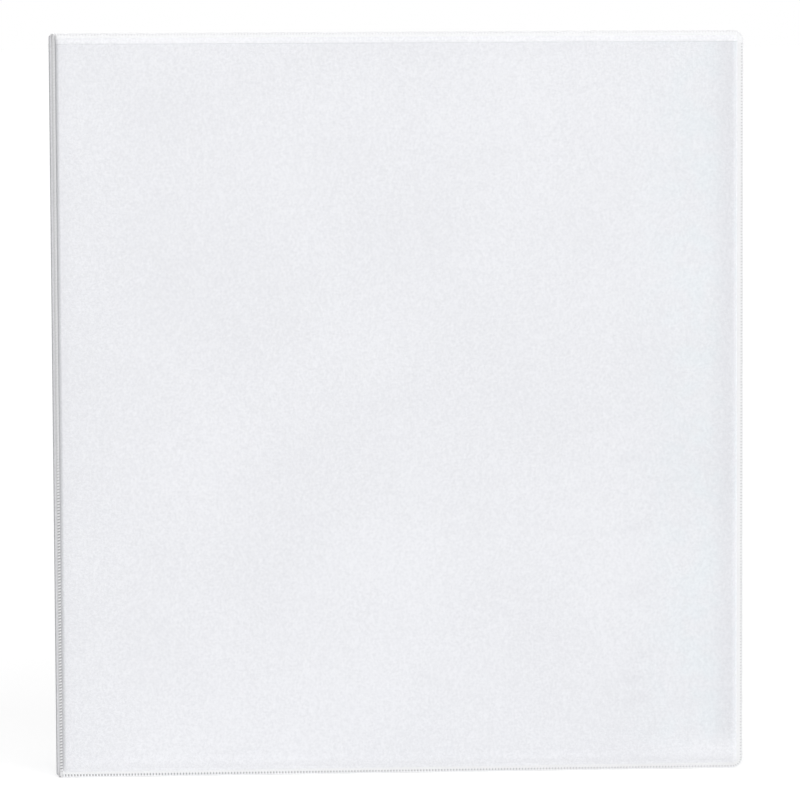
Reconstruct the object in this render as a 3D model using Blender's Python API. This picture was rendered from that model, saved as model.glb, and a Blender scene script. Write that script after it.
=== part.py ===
"""A closed ring binder: three vinyl covered boards on welded hinges, with a D-ring metal on the back cover.

Metres, +Z up. The binder stands on its bottom edge. The front cover faces -Y, the spine faces -X, and the
origin lies on the floor under the middle of the binder's outline.
"""

import math
from collections import namedtuple

import bmesh
import bpy
from mathutils import Vector

# Cover case
COVER_HEIGHT = 0.2953
COVER_WIDTH = 0.2734  # from the hinge crease to the fore edge
COVER_CORNER_RADIUS = 0.0032
FACE_CORNER_RADIUS = 0.0004
BOARD_THICKNESS = 0.0018
VINYL_THICKNESS = 0.0003
FILM_THICKNESS = 0.0002
WELD_THICKNESS = 0.0010
FORE_WELD_WIDTH = 0.0024
END_WELD_WIDTH = 0.0018
EDGE_SLOPE = 0.0018  # from a weld up to the flat face
HINGE_LAND = 0.0002  # the same two widths along a hinge
HINGE_SLOPE = 0.0005
WEB_THICKNESS = 0.0008
WEB_END_SETBACK = 0.0022
OVERLAY_DROP = 0.0042  # from the top edge down to the film's open edge
FILM_EDGE_SHARE = 0.4  # share of a weld's width that the film leaves bare
POCKET_MARGIN = 0.0040
POCKET_HINGE_HEIGHT = 0.190
POCKET_FORE_HEIGHT = 0.130

# Ring metal, measured from the back cover's inner face
RING_SPACING = 0.10795
RING_WIRE = 0.0030
RING_CLEAR_HEIGHT = 0.0220  # from the housing up to the wire
RING_FOOT = 0.0065  # from the housing's middle to each leg
RING_BEND = 0.0040
BOW_FILLET = 0.0030
BOW_FLARE = math.radians(80)
TIP_OFFSET = 0.0020  # from the housing's middle to where the ring halves meet
PEG_DIAMETER = 0.0018
HOUSING_WIDTH = 0.0240
HOUSING_HEIGHT = 0.0092
HOUSING_SHEET = 0.0009
HOUSING_LIP = 0.0024
HOUSING_LIFT = 0.0022  # from the back cover up to the lips
HOUSING_SHOULDER = 0.0035
HOUSING_CROWN = math.radians(12)
BLADE_THICKNESS = 0.0010
BLADE_SPLIT = 0.0006
BLADE_SWING = math.radians(13)
TRIGGER_TURN = math.radians(24)
TRIGGER_WIDTH = 0.0160
TRIGGER_LENGTH = 0.0160
TRIGGER_PLATE = 0.0012
TRIGGER_RISE = math.radians(40)
TRIGGER_ROUNDING = 0.0040
TRIGGER_HUB_RADIUS = 0.0020
FORK_WIDTH = 0.0050
FORK_PLATE = 0.0009
FORK_OPENING = 0.0025
FINGER_LENGTH = 0.0064
JAW_LENGTH = 0.0055
FORK_THROAT = 0.0030
FORK_BACK = 0.0008
PIN_DIAMETER = 0.0020
PIN_STANDOUT = 0.0005
RIVET_FROM_RING = 0.0085
TRIGGER_FROM_RIVET = 0.0130
HOUSING_END = 0.0035  # past the trigger's pin
RIVET_SHANK = 0.0040
RIVET_COLLAR = 0.0070
RIVET_HEAD = 0.0100
RIVET_HEAD_HEIGHT = 0.0012
RIVET_CAP = 0.0068
RIVET_CAP_HEIGHT = 0.0008

# Clearances
LAYER_GAP = 0.0001
FIT_GAP = 0.0003
HINGE_ROOM = 0.0005  # left at a crease when a cover is folded right back
FINGER_ROOM = 0.0007
BLADE_END_ROOM = 0.0006
PAGE_ROOM = 0.0010  # from the open rings to the front cover's pocket
SPINE_ROOM = 0.0040  # from the open rings to the spine
POCKET_ROOM = 0.0060  # from the housing to the back cover's pocket

# Facets
CORNER_STEPS = 4
ARC_STEPS = 8
WIRE_SIDES = 10
ROUND_SIDES = 16
FLAT_VOLUME = 1e-13  # a face whose corners span less than this, in cubic metres, counts as flat

# Worked out from the sizes above
HALF_PANEL = BOARD_THICKNESS / 2 + LAYER_GAP + VINYL_THICKNESS
FILM_STACK = LAYER_GAP + FILM_THICKNESS
POCKET_STACK = LAYER_GAP + VINYL_THICKNESS
PANEL_SETBACK = HALF_PANEL + FILM_STACK + HINGE_ROOM - HINGE_LAND - HINGE_SLOPE
WEB_ARM = PANEL_SETBACK - FIT_GAP
CLOSED_TILT = BLADE_SWING / 2
BLADE_PIVOT_S = HOUSING_WIDTH / 2 - HOUSING_SHEET - FIT_GAP
BLADE_PIVOT_H = (
    HOUSING_LIFT + HOUSING_SHEET + HOUSING_LIP * math.tan(CLOSED_TILT) + FIT_GAP + BLADE_THICKNESS / 2
)
BLADE_WIDTH = BLADE_PIVOT_S - BLADE_SPLIT / 2
RIVET_Z = RING_SPACING + RIVET_FROM_RING
TRIGGER_Z = RIVET_Z + TRIGGER_FROM_RIVET
TRIGGER_H = BLADE_PIVOT_H - BLADE_THICKNESS / 2 - FINGER_ROOM
BLADE_END = TRIGGER_Z - FORK_THROAT - BLADE_END_ROOM
HOUSING_HALF_LENGTH = TRIGGER_Z + HOUSING_END
RING_TOP = HOUSING_HEIGHT + RING_CLEAR_HEIGHT + RING_WIRE / 2
BOW_START = HOUSING_HEIGHT + FIT_GAP
BOW_RADIUS = (RING_TOP - BOW_START - BOW_FILLET * math.sin(BOW_FLARE)) / (1 + math.sin(BOW_FLARE))


def turned(side, height, angle):
    """A point of the ring's plane, given from a pivot, after a turn towards the side it lies on."""
    across = side * math.cos(angle) + height * math.sin(angle)
    return across, height * math.cos(angle) - side * math.sin(angle)


def open_ring_top():
    """How high the curved half's tip stands over the back cover with the rings open."""
    tip = turned(-BLADE_PIVOT_S - TIP_OFFSET, RING_TOP + RING_WIRE / 2 - BLADE_PIVOT_H, BLADE_SWING)
    return BLADE_PIVOT_H + tip[1]


def open_ring_reach():
    """How far the open bow reaches from the housing's middle towards the spine."""
    middle_s = RING_FOOT + BOW_FILLET * (1 - math.cos(BOW_FLARE)) - BOW_RADIUS * math.cos(BOW_FLARE)
    middle_h = RING_TOP - BOW_RADIUS
    middle = turned(middle_s - BLADE_PIVOT_S, middle_h - BLADE_PIVOT_H, BLADE_SWING)
    return BLADE_PIVOT_S + middle[0] + BOW_RADIUS + RING_WIRE / 2


INNER_DEPTH = open_ring_top() + PAGE_ROOM + POCKET_STACK
CREASE_SPACING = INNER_DEPTH + 2 * HALF_PANEL
METAL_OFFSET = HALF_PANEL + SPINE_ROOM + open_ring_reach()

Panel = namedtuple("Panel", "parent along outward near far far_is_hinge")


def clear_scene():
    """Removes what the new file holds."""
    for item in list(bpy.data.objects):
        bpy.data.objects.remove(item, do_unlink=True)


def finish(name, colour, roughness, metallic=0.0, alpha=1.0):
    """One material with its colour and gloss."""
    material = bpy.data.materials.new(name)
    material.use_nodes = True
    shader = material.node_tree.nodes["Principled BSDF"]
    shader.inputs["Base Color"].default_value = (*colour, 1.0)
    shader.inputs["Roughness"].default_value = roughness
    shader.inputs["Metallic"].default_value = metallic
    shader.inputs["Alpha"].default_value = alpha
    return material


def white_vinyl(name):
    """Pale, slightly cool white vinyl."""
    return finish(name, (0.86, 0.865, 0.885), 0.45)


def bright_steel(name):
    """Nickel plated steel."""
    return finish(name, (0.72, 0.71, 0.69), 0.22, metallic=1.0)


def chipboard(name):
    """Grey pulp board."""
    return finish(name, (0.42, 0.38, 0.33), 0.9)


def clear_film(name):
    """Clear film, which dims the vinyl under it a little."""
    return finish(name, (0.90, 0.91, 0.93), 0.25, alpha=0.25)


def pivot(name, place, parent=None):
    """An empty that carries pieces, on the axis they turn about."""
    empty = bpy.data.objects.new(name, None)
    bpy.context.scene.collection.objects.link(empty)
    empty.location = place
    empty.parent = parent
    return empty


def add_loft(body, loops):
    """Adds a closed skin through loops of as many points each, with a flat face over the first and last."""
    rows = [[body.verts.new(point) for point in loop] for loop in loops]
    for near, far in zip(rows, rows[1:]):
        for i, point in enumerate(near):
            j = (i + 1) % len(near)
            body.faces.new((point, near[j], far[j], far[i]))
    body.faces.new(rows[0])
    body.faces.new(rows[-1])


def split_bent_faces(body):
    """Halves each four-sided face whose corners don't lie in one plane."""
    bent = []
    for face in body.faces:
        if len(face.verts) == 4:
            a, b, c, d = [vert.co for vert in face.verts]
            if abs((b - a).cross(c - a).dot(d - a)) > FLAT_VOLUME:
                bent.append(face)
    bmesh.ops.triangulate(body, faces=bent)


def solid(name, lofts, material, parent, smooth_angle=None):
    """One object from the loops of one or more closed skins."""
    body = bmesh.new()
    for loops in lofts:
        add_loft(body, loops)
    split_bent_faces(body)
    bmesh.ops.recalc_face_normals(body, faces=body.faces)
    mesh = bpy.data.meshes.new(name)
    body.to_mesh(mesh)
    body.free()
    mesh.materials.append(material)
    if smooth_angle:
        mesh.shade_smooth()
        mesh.set_sharp_from_angle(angle=smooth_angle)
    piece = bpy.data.objects.new(name, mesh)
    bpy.context.scene.collection.objects.link(piece)
    piece.parent = parent
    return piece


def cut(piece, lofts):
    """Takes the given skins away from a piece."""
    material = piece.data.materials[0]
    tool = solid(piece.name + "_cutter", lofts, material, piece.parent)
    tool.hide_render = True
    tool.display_type = "WIRE"
    modifier = piece.modifiers.new("cut", "BOOLEAN")
    modifier.operation = "DIFFERENCE"
    modifier.object = tool


def circle(middle, across, up, radius, sides=ROUND_SIDES):
    """Points round a circle in the plane of two unit vectors."""
    angles = [2 * math.pi * i / sides for i in range(sides)]
    return [middle + radius * (math.cos(a) * across + math.sin(a) * up) for a in angles]


def box(low, high):
    """The two loops of a block between two corners."""
    loops = []
    for z in (low.z, high.z):
        corners = ((low.x, low.y), (high.x, low.y), (high.x, high.y), (low.x, high.y))
        loops.append([Vector((x, y, z)) for x, y in corners])
    return loops


def panel_point(panel, u, v, w):
    """A point of a panel: u from its crease, v up, w outwards from the middle of its thickness."""
    return panel.along * u + Vector((0.0, 0.0, v)) + panel.outward * w


def panel_loop(panel, land_share, slope_share, inset, w):
    """The panel's outline with round corners, drawn in over its weld and slope and then by inset."""
    hinge = land_share * HINGE_LAND + slope_share * HINGE_SLOPE + inset
    end = land_share * END_WELD_WIDTH + slope_share * EDGE_SLOPE + inset
    fore = land_share * FORE_WELD_WIDTH + slope_share * EDGE_SLOPE + inset
    far = hinge if panel.far_is_hinge else fore
    near_radius = FACE_CORNER_RADIUS
    far_radius = near_radius if panel.far_is_hinge else max(COVER_CORNER_RADIUS - end, near_radius)
    low_u = panel.near + hinge
    high_u = panel.far - far
    low_v = end
    high_v = COVER_HEIGHT - end
    corners = (
        (high_u - far_radius, high_v - far_radius, far_radius, 0.0),
        (low_u + near_radius, high_v - near_radius, near_radius, 0.5 * math.pi),
        (low_u + near_radius, low_v + near_radius, near_radius, math.pi),
        (high_u - far_radius, low_v + far_radius, far_radius, 1.5 * math.pi),
    )
    points = []
    for u, v, radius, start in corners:
        for step in range(CORNER_STEPS + 1):
            angle = start + 0.5 * math.pi * step / CORNER_STEPS
            points.append(panel_point(panel, u + radius * math.cos(angle), v + radius * math.sin(angle), w))
    return points


def outer_skin(name, panel):
    """The outer sheet of a panel, drawn down to its weld, which joins both sheets in one bead."""
    bead = WELD_THICKNESS / 2
    loops = [
        panel_loop(panel, 1, 1, 0, HALF_PANEL),
        panel_loop(panel, 1, 0, 0, bead),
        panel_loop(panel, 0, 0, 0, bead),
        panel_loop(panel, 0, 0, 0, -bead),
        panel_loop(panel, 1, 0, 0, -bead),
        panel_loop(panel, 1, 1, VINYL_THICKNESS, HALF_PANEL - VINYL_THICKNESS),
    ]
    return solid(name, [loops], white_vinyl(name), panel.parent)


def inner_liner(name, panel):
    """The inner sheet of a panel, which meets the weld from below."""
    rim = WELD_THICKNESS / 2 + LAYER_GAP
    loops = [
        panel_loop(panel, 1, 1, 0, -HALF_PANEL),
        panel_loop(panel, 1, 0, 0, -rim - VINYL_THICKNESS),
        panel_loop(panel, 1, 0, 0, -rim),
        panel_loop(panel, 1, 1, VINYL_THICKNESS, VINYL_THICKNESS - HALF_PANEL),
    ]
    return solid(name, [loops], white_vinyl(name), panel.parent)


def board(name, panel):
    """The stiff board between the two sheets."""
    inset = VINYL_THICKNESS + FIT_GAP
    half = BOARD_THICKNESS / 2
    loops = [panel_loop(panel, 1, 1, inset, w) for w in (-half, half)]
    return solid(name, [loops], chipboard(name), panel.parent)


def overlay(name, panel):
    """The clear film over a panel, welded on three sides and open at the top."""
    rim = WELD_THICKNESS / 2 + LAYER_GAP
    face = HALF_PANEL + LAYER_GAP
    loops = [
        panel_loop(panel, 1, 1, 0, face + FILM_THICKNESS),
        panel_loop(panel, 1, 0, 0, rim + FILM_THICKNESS),
        panel_loop(panel, FILM_EDGE_SHARE, 0, 0, rim + FILM_THICKNESS),
        panel_loop(panel, FILM_EDGE_SHARE, 0, 0, rim),
        panel_loop(panel, 1, 0, 0, rim),
        panel_loop(panel, 1, 1, 0, face),
    ]
    film = solid(name, [loops], clear_film(name), panel.parent)
    left = panel.near - OVERLAY_DROP
    right = panel.far + OVERLAY_DROP
    sides = ((left, -HALF_PANEL), (right, -HALF_PANEL), (right, 2 * HALF_PANEL), (left, 2 * HALF_PANEL))
    strip = []
    for v in (COVER_HEIGHT - OVERLAY_DROP, COVER_HEIGHT + OVERLAY_DROP):
        strip.append([panel_point(panel, u, v, w) for u, w in sides])
    cut(film, [strip])
    return film


def inner_pocket(name, panel, low_u):
    """A vinyl pocket on a cover's inner side, with a slanting top edge."""
    high_u = panel.far - FORE_WELD_WIDTH - EDGE_SLOPE - POCKET_MARGIN
    low_v = END_WELD_WIDTH + EDGE_SLOPE + POCKET_MARGIN
    corners = ((low_u, low_v), (high_u, low_v), (high_u, POCKET_FORE_HEIGHT), (low_u, POCKET_HINGE_HEIGHT))
    loops = []
    for w in (-HALF_PANEL - LAYER_GAP, -HALF_PANEL - POCKET_STACK):
        loops.append([panel_point(panel, u, v, w) for u, v in corners])
    return solid(name, [loops], white_vinyl(name), panel.parent)


def hinge_web(name, parent, along, other):
    """The flexible weld between two panels, bent square along its crease."""
    half = WEB_THICKNESS / 2
    near_arm = ((-half, -half), (WEB_ARM, -half), (WEB_ARM, half))
    far_arm = ((half, half), (half, WEB_ARM), (-half, WEB_ARM))
    profile = near_arm + far_arm
    loops = []
    for z in (WEB_END_SETBACK, COVER_HEIGHT - WEB_END_SETBACK):
        loops.append([along * a + other * b + Vector((0.0, 0.0, z)) for a, b in profile])
    return solid(name, [loops], white_vinyl(name), parent)


def metal(s, h, z):
    """A place on the ring metal: s to the fore edge, h off the back cover, z from mid height."""
    return Vector((METAL_OFFSET + s, -HALF_PANEL - h, COVER_HEIGHT / 2 + z))


def housing_half(inward):
    """Half of the housing's profile, lip to crown, on its outer face or that far inside it."""
    half = HOUSING_WIDTH / 2
    shoulder_s = half - HOUSING_SHOULDER
    crown_s = shoulder_s + HOUSING_SHOULDER * math.sin(HOUSING_CROWN)
    crown_radius = crown_s / math.sin(HOUSING_CROWN)
    shoulder_h = HOUSING_HEIGHT - crown_radius + (crown_radius - HOUSING_SHOULDER) * math.cos(HOUSING_CROWN)
    points = [(half - inward, HOUSING_LIFT + inward)]
    turn = 0.5 * math.pi - HOUSING_CROWN
    for step in range(ARC_STEPS + 1):
        angle = turn * step / ARC_STEPS
        radius = HOUSING_SHOULDER - inward
        points.append((shoulder_s + radius * math.cos(angle), shoulder_h + radius * math.sin(angle)))
    for step in range(1, ARC_STEPS // 2 + 1):
        angle = HOUSING_CROWN * (1 - 2 * step / ARC_STEPS)
        radius = crown_radius - inward
        points.append((radius * math.sin(angle), HOUSING_HEIGHT - crown_radius + radius * math.cos(angle)))
    return points


def housing_section(z, bent):
    """The housing's closed profile at a height, with its lips bent in or left straight as ears."""
    half = HOUSING_WIDTH / 2
    lips = [(half - HOUSING_LIP, HOUSING_LIFT), (half - HOUSING_LIP, HOUSING_LIFT + HOUSING_SHEET)]
    ears = [(half, FIT_GAP), (half - HOUSING_SHEET, FIT_GAP)]
    outer_end, inner_end = lips if bent else ears
    outer = [outer_end, *housing_half(0.0)]
    inner = [inner_end, *housing_half(HOUSING_SHEET)]
    outer += [(-s, h) for s, h in reversed(outer[:-1])]
    inner += [(-s, h) for s, h in reversed(inner[:-1])]
    return [metal(s, h, z) for s, h in outer + inner[::-1]]


def wire_slot(side, z):
    """The cut that lets one leg of a ring through the housing and swing."""
    half_wire = RING_WIRE / 2 + FIT_GAP
    swing = (HOUSING_HEIGHT - BLADE_PIVOT_H) * math.tan(BLADE_SWING) + half_wire / math.cos(BLADE_SWING)
    near = side * (RING_FOOT - half_wire)
    far = side * (RING_FOOT + swing + FIT_GAP)
    low_h = BLADE_PIVOT_H + BLADE_THICKNESS
    corner = metal(min(near, far), 2 * HOUSING_HEIGHT, z - half_wire)
    return box(corner, metal(max(near, far), low_h, z + half_wire))


def rod(start, end, diameter, sides=ROUND_SIDES):
    """The two loops of a round bar between two points, with facets level with Z or, along Z, with X."""
    axis = (end - start).normalized()
    across = Vector((0.0, 0.0, 1.0)) if abs(axis.z) < 0.5 else Vector((1.0, 0.0, 0.0))
    return [circle(point, across, axis.cross(across), diameter / 2, sides) for point in (start, end)]


def ring_housing(parent):
    """The arched channel, slotted for the rings and pierced for its rivets and pins."""
    name = "ring_housing"
    lip_end = BLADE_END + FIT_GAP
    stations = (
        (-HOUSING_HALF_LENGTH, False),
        (-lip_end - FIT_GAP, False),
        (-lip_end, True),
        (lip_end, True),
        (lip_end + FIT_GAP, False),
        (HOUSING_HALF_LENGTH, False),
    )
    loops = [housing_section(z, bent) for z, bent in stations]
    piece = solid(name, [loops], bright_steel(name), parent, math.radians(40))
    tools = [wire_slot(side, z) for side in (-1, 1) for z in (-RING_SPACING, 0.0, RING_SPACING)]
    for end in (-1, 1):
        low = metal(0.0, HOUSING_HEIGHT / 2, end * RIVET_Z)
        high = metal(0.0, 2 * HOUSING_HEIGHT, end * RIVET_Z)
        tools.append(rod(low, high, RIVET_SHANK + 2 * FIT_GAP))
        left = metal(-HOUSING_WIDTH, TRIGGER_H, end * TRIGGER_Z)
        right = metal(HOUSING_WIDTH, TRIGGER_H, end * TRIGGER_Z)
        tools.append(rod(left, right, PIN_DIAMETER + 2 * FIT_GAP))
    cut(piece, tools)
    return piece


def blade_point(side, inward, lift, z):
    """A point of a closed blade, from its pivot: inward along the blade, lift square to it."""
    across = -side * (inward * math.cos(CLOSED_TILT) + lift * math.sin(CLOSED_TILT))
    height = lift * math.cos(CLOSED_TILT) - inward * math.sin(CLOSED_TILT)
    return Vector((across, -height, z))


def blade_outline():
    """A blade's flat outline, with a notch round each rivet's collar in its inner edge."""
    radius = RIVET_COLLAR / 2 + FIT_GAP + BLADE_SPLIT / 2
    reach = math.acos((BLADE_PIVOT_S - BLADE_WIDTH) / radius)
    points = [(0.0, -BLADE_END), (BLADE_WIDTH, -BLADE_END)]
    for rivet in (-RIVET_Z, RIVET_Z):
        for step in range(ARC_STEPS + 1):
            angle = reach * (2 * step / ARC_STEPS - 1)
            points.append((BLADE_PIVOT_S - radius * math.cos(angle), rivet + radius * math.sin(angle)))
    return [*points, (BLADE_WIDTH, BLADE_END), (0.0, BLADE_END)]


def foot_height(lift):
    """The height over the pivot of a leg's middle, where it crosses a closed blade's face at that lift."""
    return lift / math.cos(CLOSED_TILT) - (BLADE_PIVOT_S - RING_FOOT) * math.tan(CLOSED_TILT)


def blade(name, side, parent):
    """One of the two plates that carry the half rings, drilled for their pegs."""
    half = BLADE_THICKNESS / 2
    outline = blade_outline()
    loops = [[blade_point(side, inward, lift, z) for inward, z in outline] for lift in (-half, half)]
    piece = solid(name, [loops], bright_steel(name), parent)
    across = side * (RING_FOOT - BLADE_PIVOT_S)
    reach = Vector((0.0, BLADE_THICKNESS * 2, 0.0))
    tools = []
    for z in (-RING_SPACING, 0.0, RING_SPACING):
        middle = Vector((across, -foot_height(0.0), z))
        tools.append(rod(middle - reach, middle + reach, PEG_DIAMETER + 2 * FIT_GAP, WIRE_SIDES))
    cut(piece, tools)
    return piece


def route(start, moves):
    """Points and headings along straight runs and arcs, from a start that heads up.

    A move is (length, 0) for a run and (radius, angle) for an arc, where a positive angle turns to -s.
    """
    place = Vector(start)
    heading = 0.0
    path = [(place.copy(), heading)]
    for size, angle in moves:
        steps = ARC_STEPS if angle else 1
        for _ in range(steps):
            turn = angle / steps
            step = 2 * size * math.sin(abs(turn) / 2) if angle else size
            middle = heading + turn / 2
            place += step * Vector((-math.sin(middle), math.cos(middle)))
            heading += turn
            path.append((place.copy(), heading))
    return path


def half_ring(name, side, z, moves, parent):
    """Half of a D ring: a peg in its blade, a leg up through the housing, then the given bends."""
    half_blade = BLADE_THICKNESS / 2
    seat_h = foot_height(half_blade) + FIT_GAP + RING_WIRE / 2 * math.tan(CLOSED_TILT)
    start = (side * (RING_FOOT - BLADE_PIVOT_S), foot_height(-half_blade))
    peg = [(Vector(start), 0.0), (Vector((start[0], seat_h)), 0.0)]
    leg = route((start[0], seat_h), [(BOW_START - BLADE_PIVOT_H - seat_h, 0), *moves])
    loops = []
    for path, diameter in ((peg, PEG_DIAMETER), (leg, RING_WIRE)):
        for place, heading in path:
            across = Vector((math.cos(heading), -math.sin(heading), 0.0))
            middle = Vector((place.x, -place.y, z))
            loops.append(circle(middle, across, Vector((0.0, 0.0, 1.0)), diameter / 2, WIRE_SIDES))
    return solid(name, [loops], bright_steel(name), parent, math.radians(50))


def straight_moves():
    """The straight half's leg, and its bend over to where the halves meet."""
    rise = RING_TOP - RING_BEND - BOW_START
    over = RING_FOOT - RING_BEND - TIP_OFFSET - FIT_GAP / 2
    return [(rise, 0), (RING_BEND, 0.5 * math.pi), (over, 0)]


def curved_moves():
    """The bow: out from the housing, round, and over to where the halves meet."""
    out = RING_FOOT + BOW_FILLET * (1 - math.cos(BOW_FLARE)) - BOW_RADIUS * math.cos(BOW_FLARE)
    over = out + TIP_OFFSET - FIT_GAP / 2
    return [(BOW_FILLET, BOW_FLARE), (BOW_RADIUS, -BOW_FLARE - 0.5 * math.pi), (over, 0)]


def tab_length(s):
    """How long the trigger's tab is at a distance from its middle, round at its corners."""
    past = max(abs(s) - TRIGGER_WIDTH / 2 + TRIGGER_ROUNDING, 0.0)
    return TRIGGER_LENGTH - TRIGGER_ROUNDING + math.sqrt(max(TRIGGER_ROUNDING**2 - past**2, 0.0))


def trigger_outline(length, forked):
    """A trigger's side outline about its pin, as (outward, up), before it is tilted to its closed place."""
    hub = TRIGGER_HUB_RADIUS
    lean = TRIGGER_RISE - TRIGGER_TURN / 2
    half = TRIGGER_PLATE / 2
    root = math.asin(half / hub)
    along = Vector((math.cos(lean), math.sin(lean)))
    square = Vector((-along.y, along.x))
    points = [along * length - square * half, along * length + square * half]
    jaw_angle = math.pi - math.acos(FORK_BACK / hub)
    finger_angle = math.pi + math.asin(FORK_PLATE / hub)
    for step in range(ARC_STEPS // 2 + 1):
        angle = lean + root + (jaw_angle - lean - root) * 2 * step / ARC_STEPS
        points.append(hub * Vector((math.cos(angle), math.sin(angle))))
    fork = [
        (-FORK_BACK, FORK_OPENING + FORK_PLATE),
        (-JAW_LENGTH, FORK_OPENING + FORK_PLATE),
        (-JAW_LENGTH, FORK_OPENING),
        (-FORK_THROAT, FORK_OPENING),
        (-FORK_THROAT, 0.0),
        (-FINGER_LENGTH, 0.0),
        (-FINGER_LENGTH, -FORK_PLATE),
    ]
    for step, point in enumerate(fork, 1):
        angle = jaw_angle + (finger_angle - jaw_angle) * step / (len(fork) + 1)
        points.append(Vector(point) if forked else hub * Vector((math.cos(angle), math.sin(angle))))
    last = 2 * math.pi + lean - root
    for step in range(ARC_STEPS + 1):
        angle = finger_angle + (last - finger_angle) * step / ARC_STEPS
        points.append(hub * Vector((math.cos(angle), math.sin(angle))))
    return points


def trigger(name, end, parent):
    """An opening lever: a thumb tab, a hub on its pin and a fork round the ends of the blades."""
    half = TRIGGER_WIDTH / 2
    fork = FORK_WIDTH / 2
    rounds = [half - TRIGGER_ROUNDING * (1 - math.cos(0.5 * math.pi * i / 4)) for i in range(5)]
    stations = [(s, False) for s in rounds] + [(fork + FIT_GAP / 2, False), (fork, True)]
    stations += [(-s, forked) for s, forked in reversed(stations)]
    tilt = TRIGGER_TURN / 2
    loops = []
    for s, forked in stations:
        loop = []
        for outward, up in trigger_outline(tab_length(s), forked):
            along = outward * math.cos(tilt) - up * math.sin(tilt)
            height = outward * math.sin(tilt) + up * math.cos(tilt)
            loop.append(Vector((s, -height, end * along)))
        loops.append(loop)
    piece = solid(name, [loops], bright_steel(name), parent, math.radians(40))
    reach = Vector((TRIGGER_WIDTH, 0.0, 0.0))
    cut(piece, [rod(-reach, reach, PIN_DIAMETER + 2 * FIT_GAP)])
    return piece


def trigger_pin(name, end, parent):
    """The pin that a trigger turns on, across the housing's ears."""
    reach = HOUSING_WIDTH / 2 + PIN_STANDOUT
    left = metal(-reach, TRIGGER_H, end * TRIGGER_Z)
    right = metal(reach, TRIGGER_H, end * TRIGGER_Z)
    return solid(name, [rod(left, right, PIN_DIAMETER)], bright_steel(name), parent, math.radians(40))


def domed(base_h, height, radius, rise):
    """Heights and radii from a round head's rim to its small flat crown, along an ellipse."""
    angles = [0.5 * math.pi * step / ARC_STEPS for step in range(ARC_STEPS)]
    scale = rise * height / math.sin(angles[-1])
    return [(base_h + scale * math.sin(angle), radius * math.cos(angle)) for angle in angles]


def rivet(name, end, parent):
    """A rivet with its head outside the back cover, a collar under the housing and a cap over it."""
    skin_h = -2 * HALF_PANEL - LAYER_GAP
    shank = RIVET_SHANK / 2
    collar = RIVET_COLLAR / 2
    under_h = HOUSING_HEIGHT - HOUSING_SHEET - FIT_GAP
    over_h = HOUSING_HEIGHT + FIT_GAP
    profile = domed(skin_h, RIVET_HEAD_HEIGHT, RIVET_HEAD / 2, -1)[::-1]
    profile += [(skin_h, shank), (LAYER_GAP, shank), (LAYER_GAP, collar), (under_h, collar)]
    profile += [(under_h, shank), (over_h, shank)]
    profile += domed(over_h, RIVET_CAP_HEIGHT, RIVET_CAP / 2, 1)
    across = Vector((1.0, 0.0, 0.0))
    up = Vector((0.0, 0.0, 1.0))
    loops = [circle(metal(0.0, h, end * RIVET_Z), across, up, radius) for h, radius in profile]
    return solid(name, [loops], bright_steel(name), parent, math.radians(40))


def rivet_holes():
    """The round holes for both rivets through the back cover."""
    tools = []
    for end in (-1, 1):
        outside = metal(0.0, -4 * HALF_PANEL, end * RIVET_Z)
        inside = metal(0.0, 2 * HALF_PANEL, end * RIVET_Z)
        tools.append(rod(outside, inside, RIVET_SHANK + 2 * FIT_GAP))
    return tools


def build_cover_case(root, spine_pivot, front_pivot):
    """The three panels with their overlays, pockets and hinge webs."""
    right = Vector((1.0, 0.0, 0.0))
    left = -right
    back = Vector((0.0, 1.0, 0.0))
    front = -back
    back_panel = Panel(root, right, back, PANEL_SETBACK, COVER_WIDTH, False)
    front_panel = Panel(front_pivot, right, front, PANEL_SETBACK, COVER_WIDTH, False)
    spine_panel = Panel(spine_pivot, front, left, PANEL_SETBACK, CREASE_SPACING - PANEL_SETBACK, True)
    for label, panel in (("front", front_panel), ("spine", spine_panel)):
        outer_skin(label + "_outer_skin", panel)
        board(label + "_board", panel)
        inner_liner(label + "_inner_liner", panel)
        overlay(label + "_overlay", panel)
    cut(outer_skin("back_outer_skin", back_panel), rivet_holes())
    cut(board("back_board", back_panel), rivet_holes())
    cut(inner_liner("back_inner_liner", back_panel), rivet_holes())
    inner_pocket("front_inner_pocket", front_panel, PANEL_SETBACK + POCKET_MARGIN)
    inner_pocket("back_inner_pocket", back_panel, METAL_OFFSET + HOUSING_WIDTH / 2 + POCKET_ROOM)
    hinge_web("back_hinge_web", root, right, front)
    hinge_web("front_hinge_web", front_pivot, right, back)


def build_ring_metal(root):
    """The housing with its rivets, blades, half rings and triggers."""
    ring_housing(root)
    levels = (("bottom", -RING_SPACING), ("middle", 0.0), ("top", RING_SPACING))
    halves = (("straight", 1, straight_moves()), ("curved", -1, curved_moves()))
    for label, side, moves in halves:
        axis = pivot(label + "_blade_pivot", metal(side * BLADE_PIVOT_S, BLADE_PIVOT_H, 0.0), root)
        blade(label + "_side_blade", side, axis)
        for level, z in levels:
            half_ring(f"{label}_half_ring_{level}", side, z, moves, axis)
    for label, end in (("bottom", -1), ("top", 1)):
        axis = pivot(label + "_trigger_pivot", metal(0.0, TRIGGER_H, end * TRIGGER_Z), root)
        trigger(label + "_trigger", end, axis)
        trigger_pin(label + "_trigger_pin", end, root)
        rivet(label + "_rivet", end, root)


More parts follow.
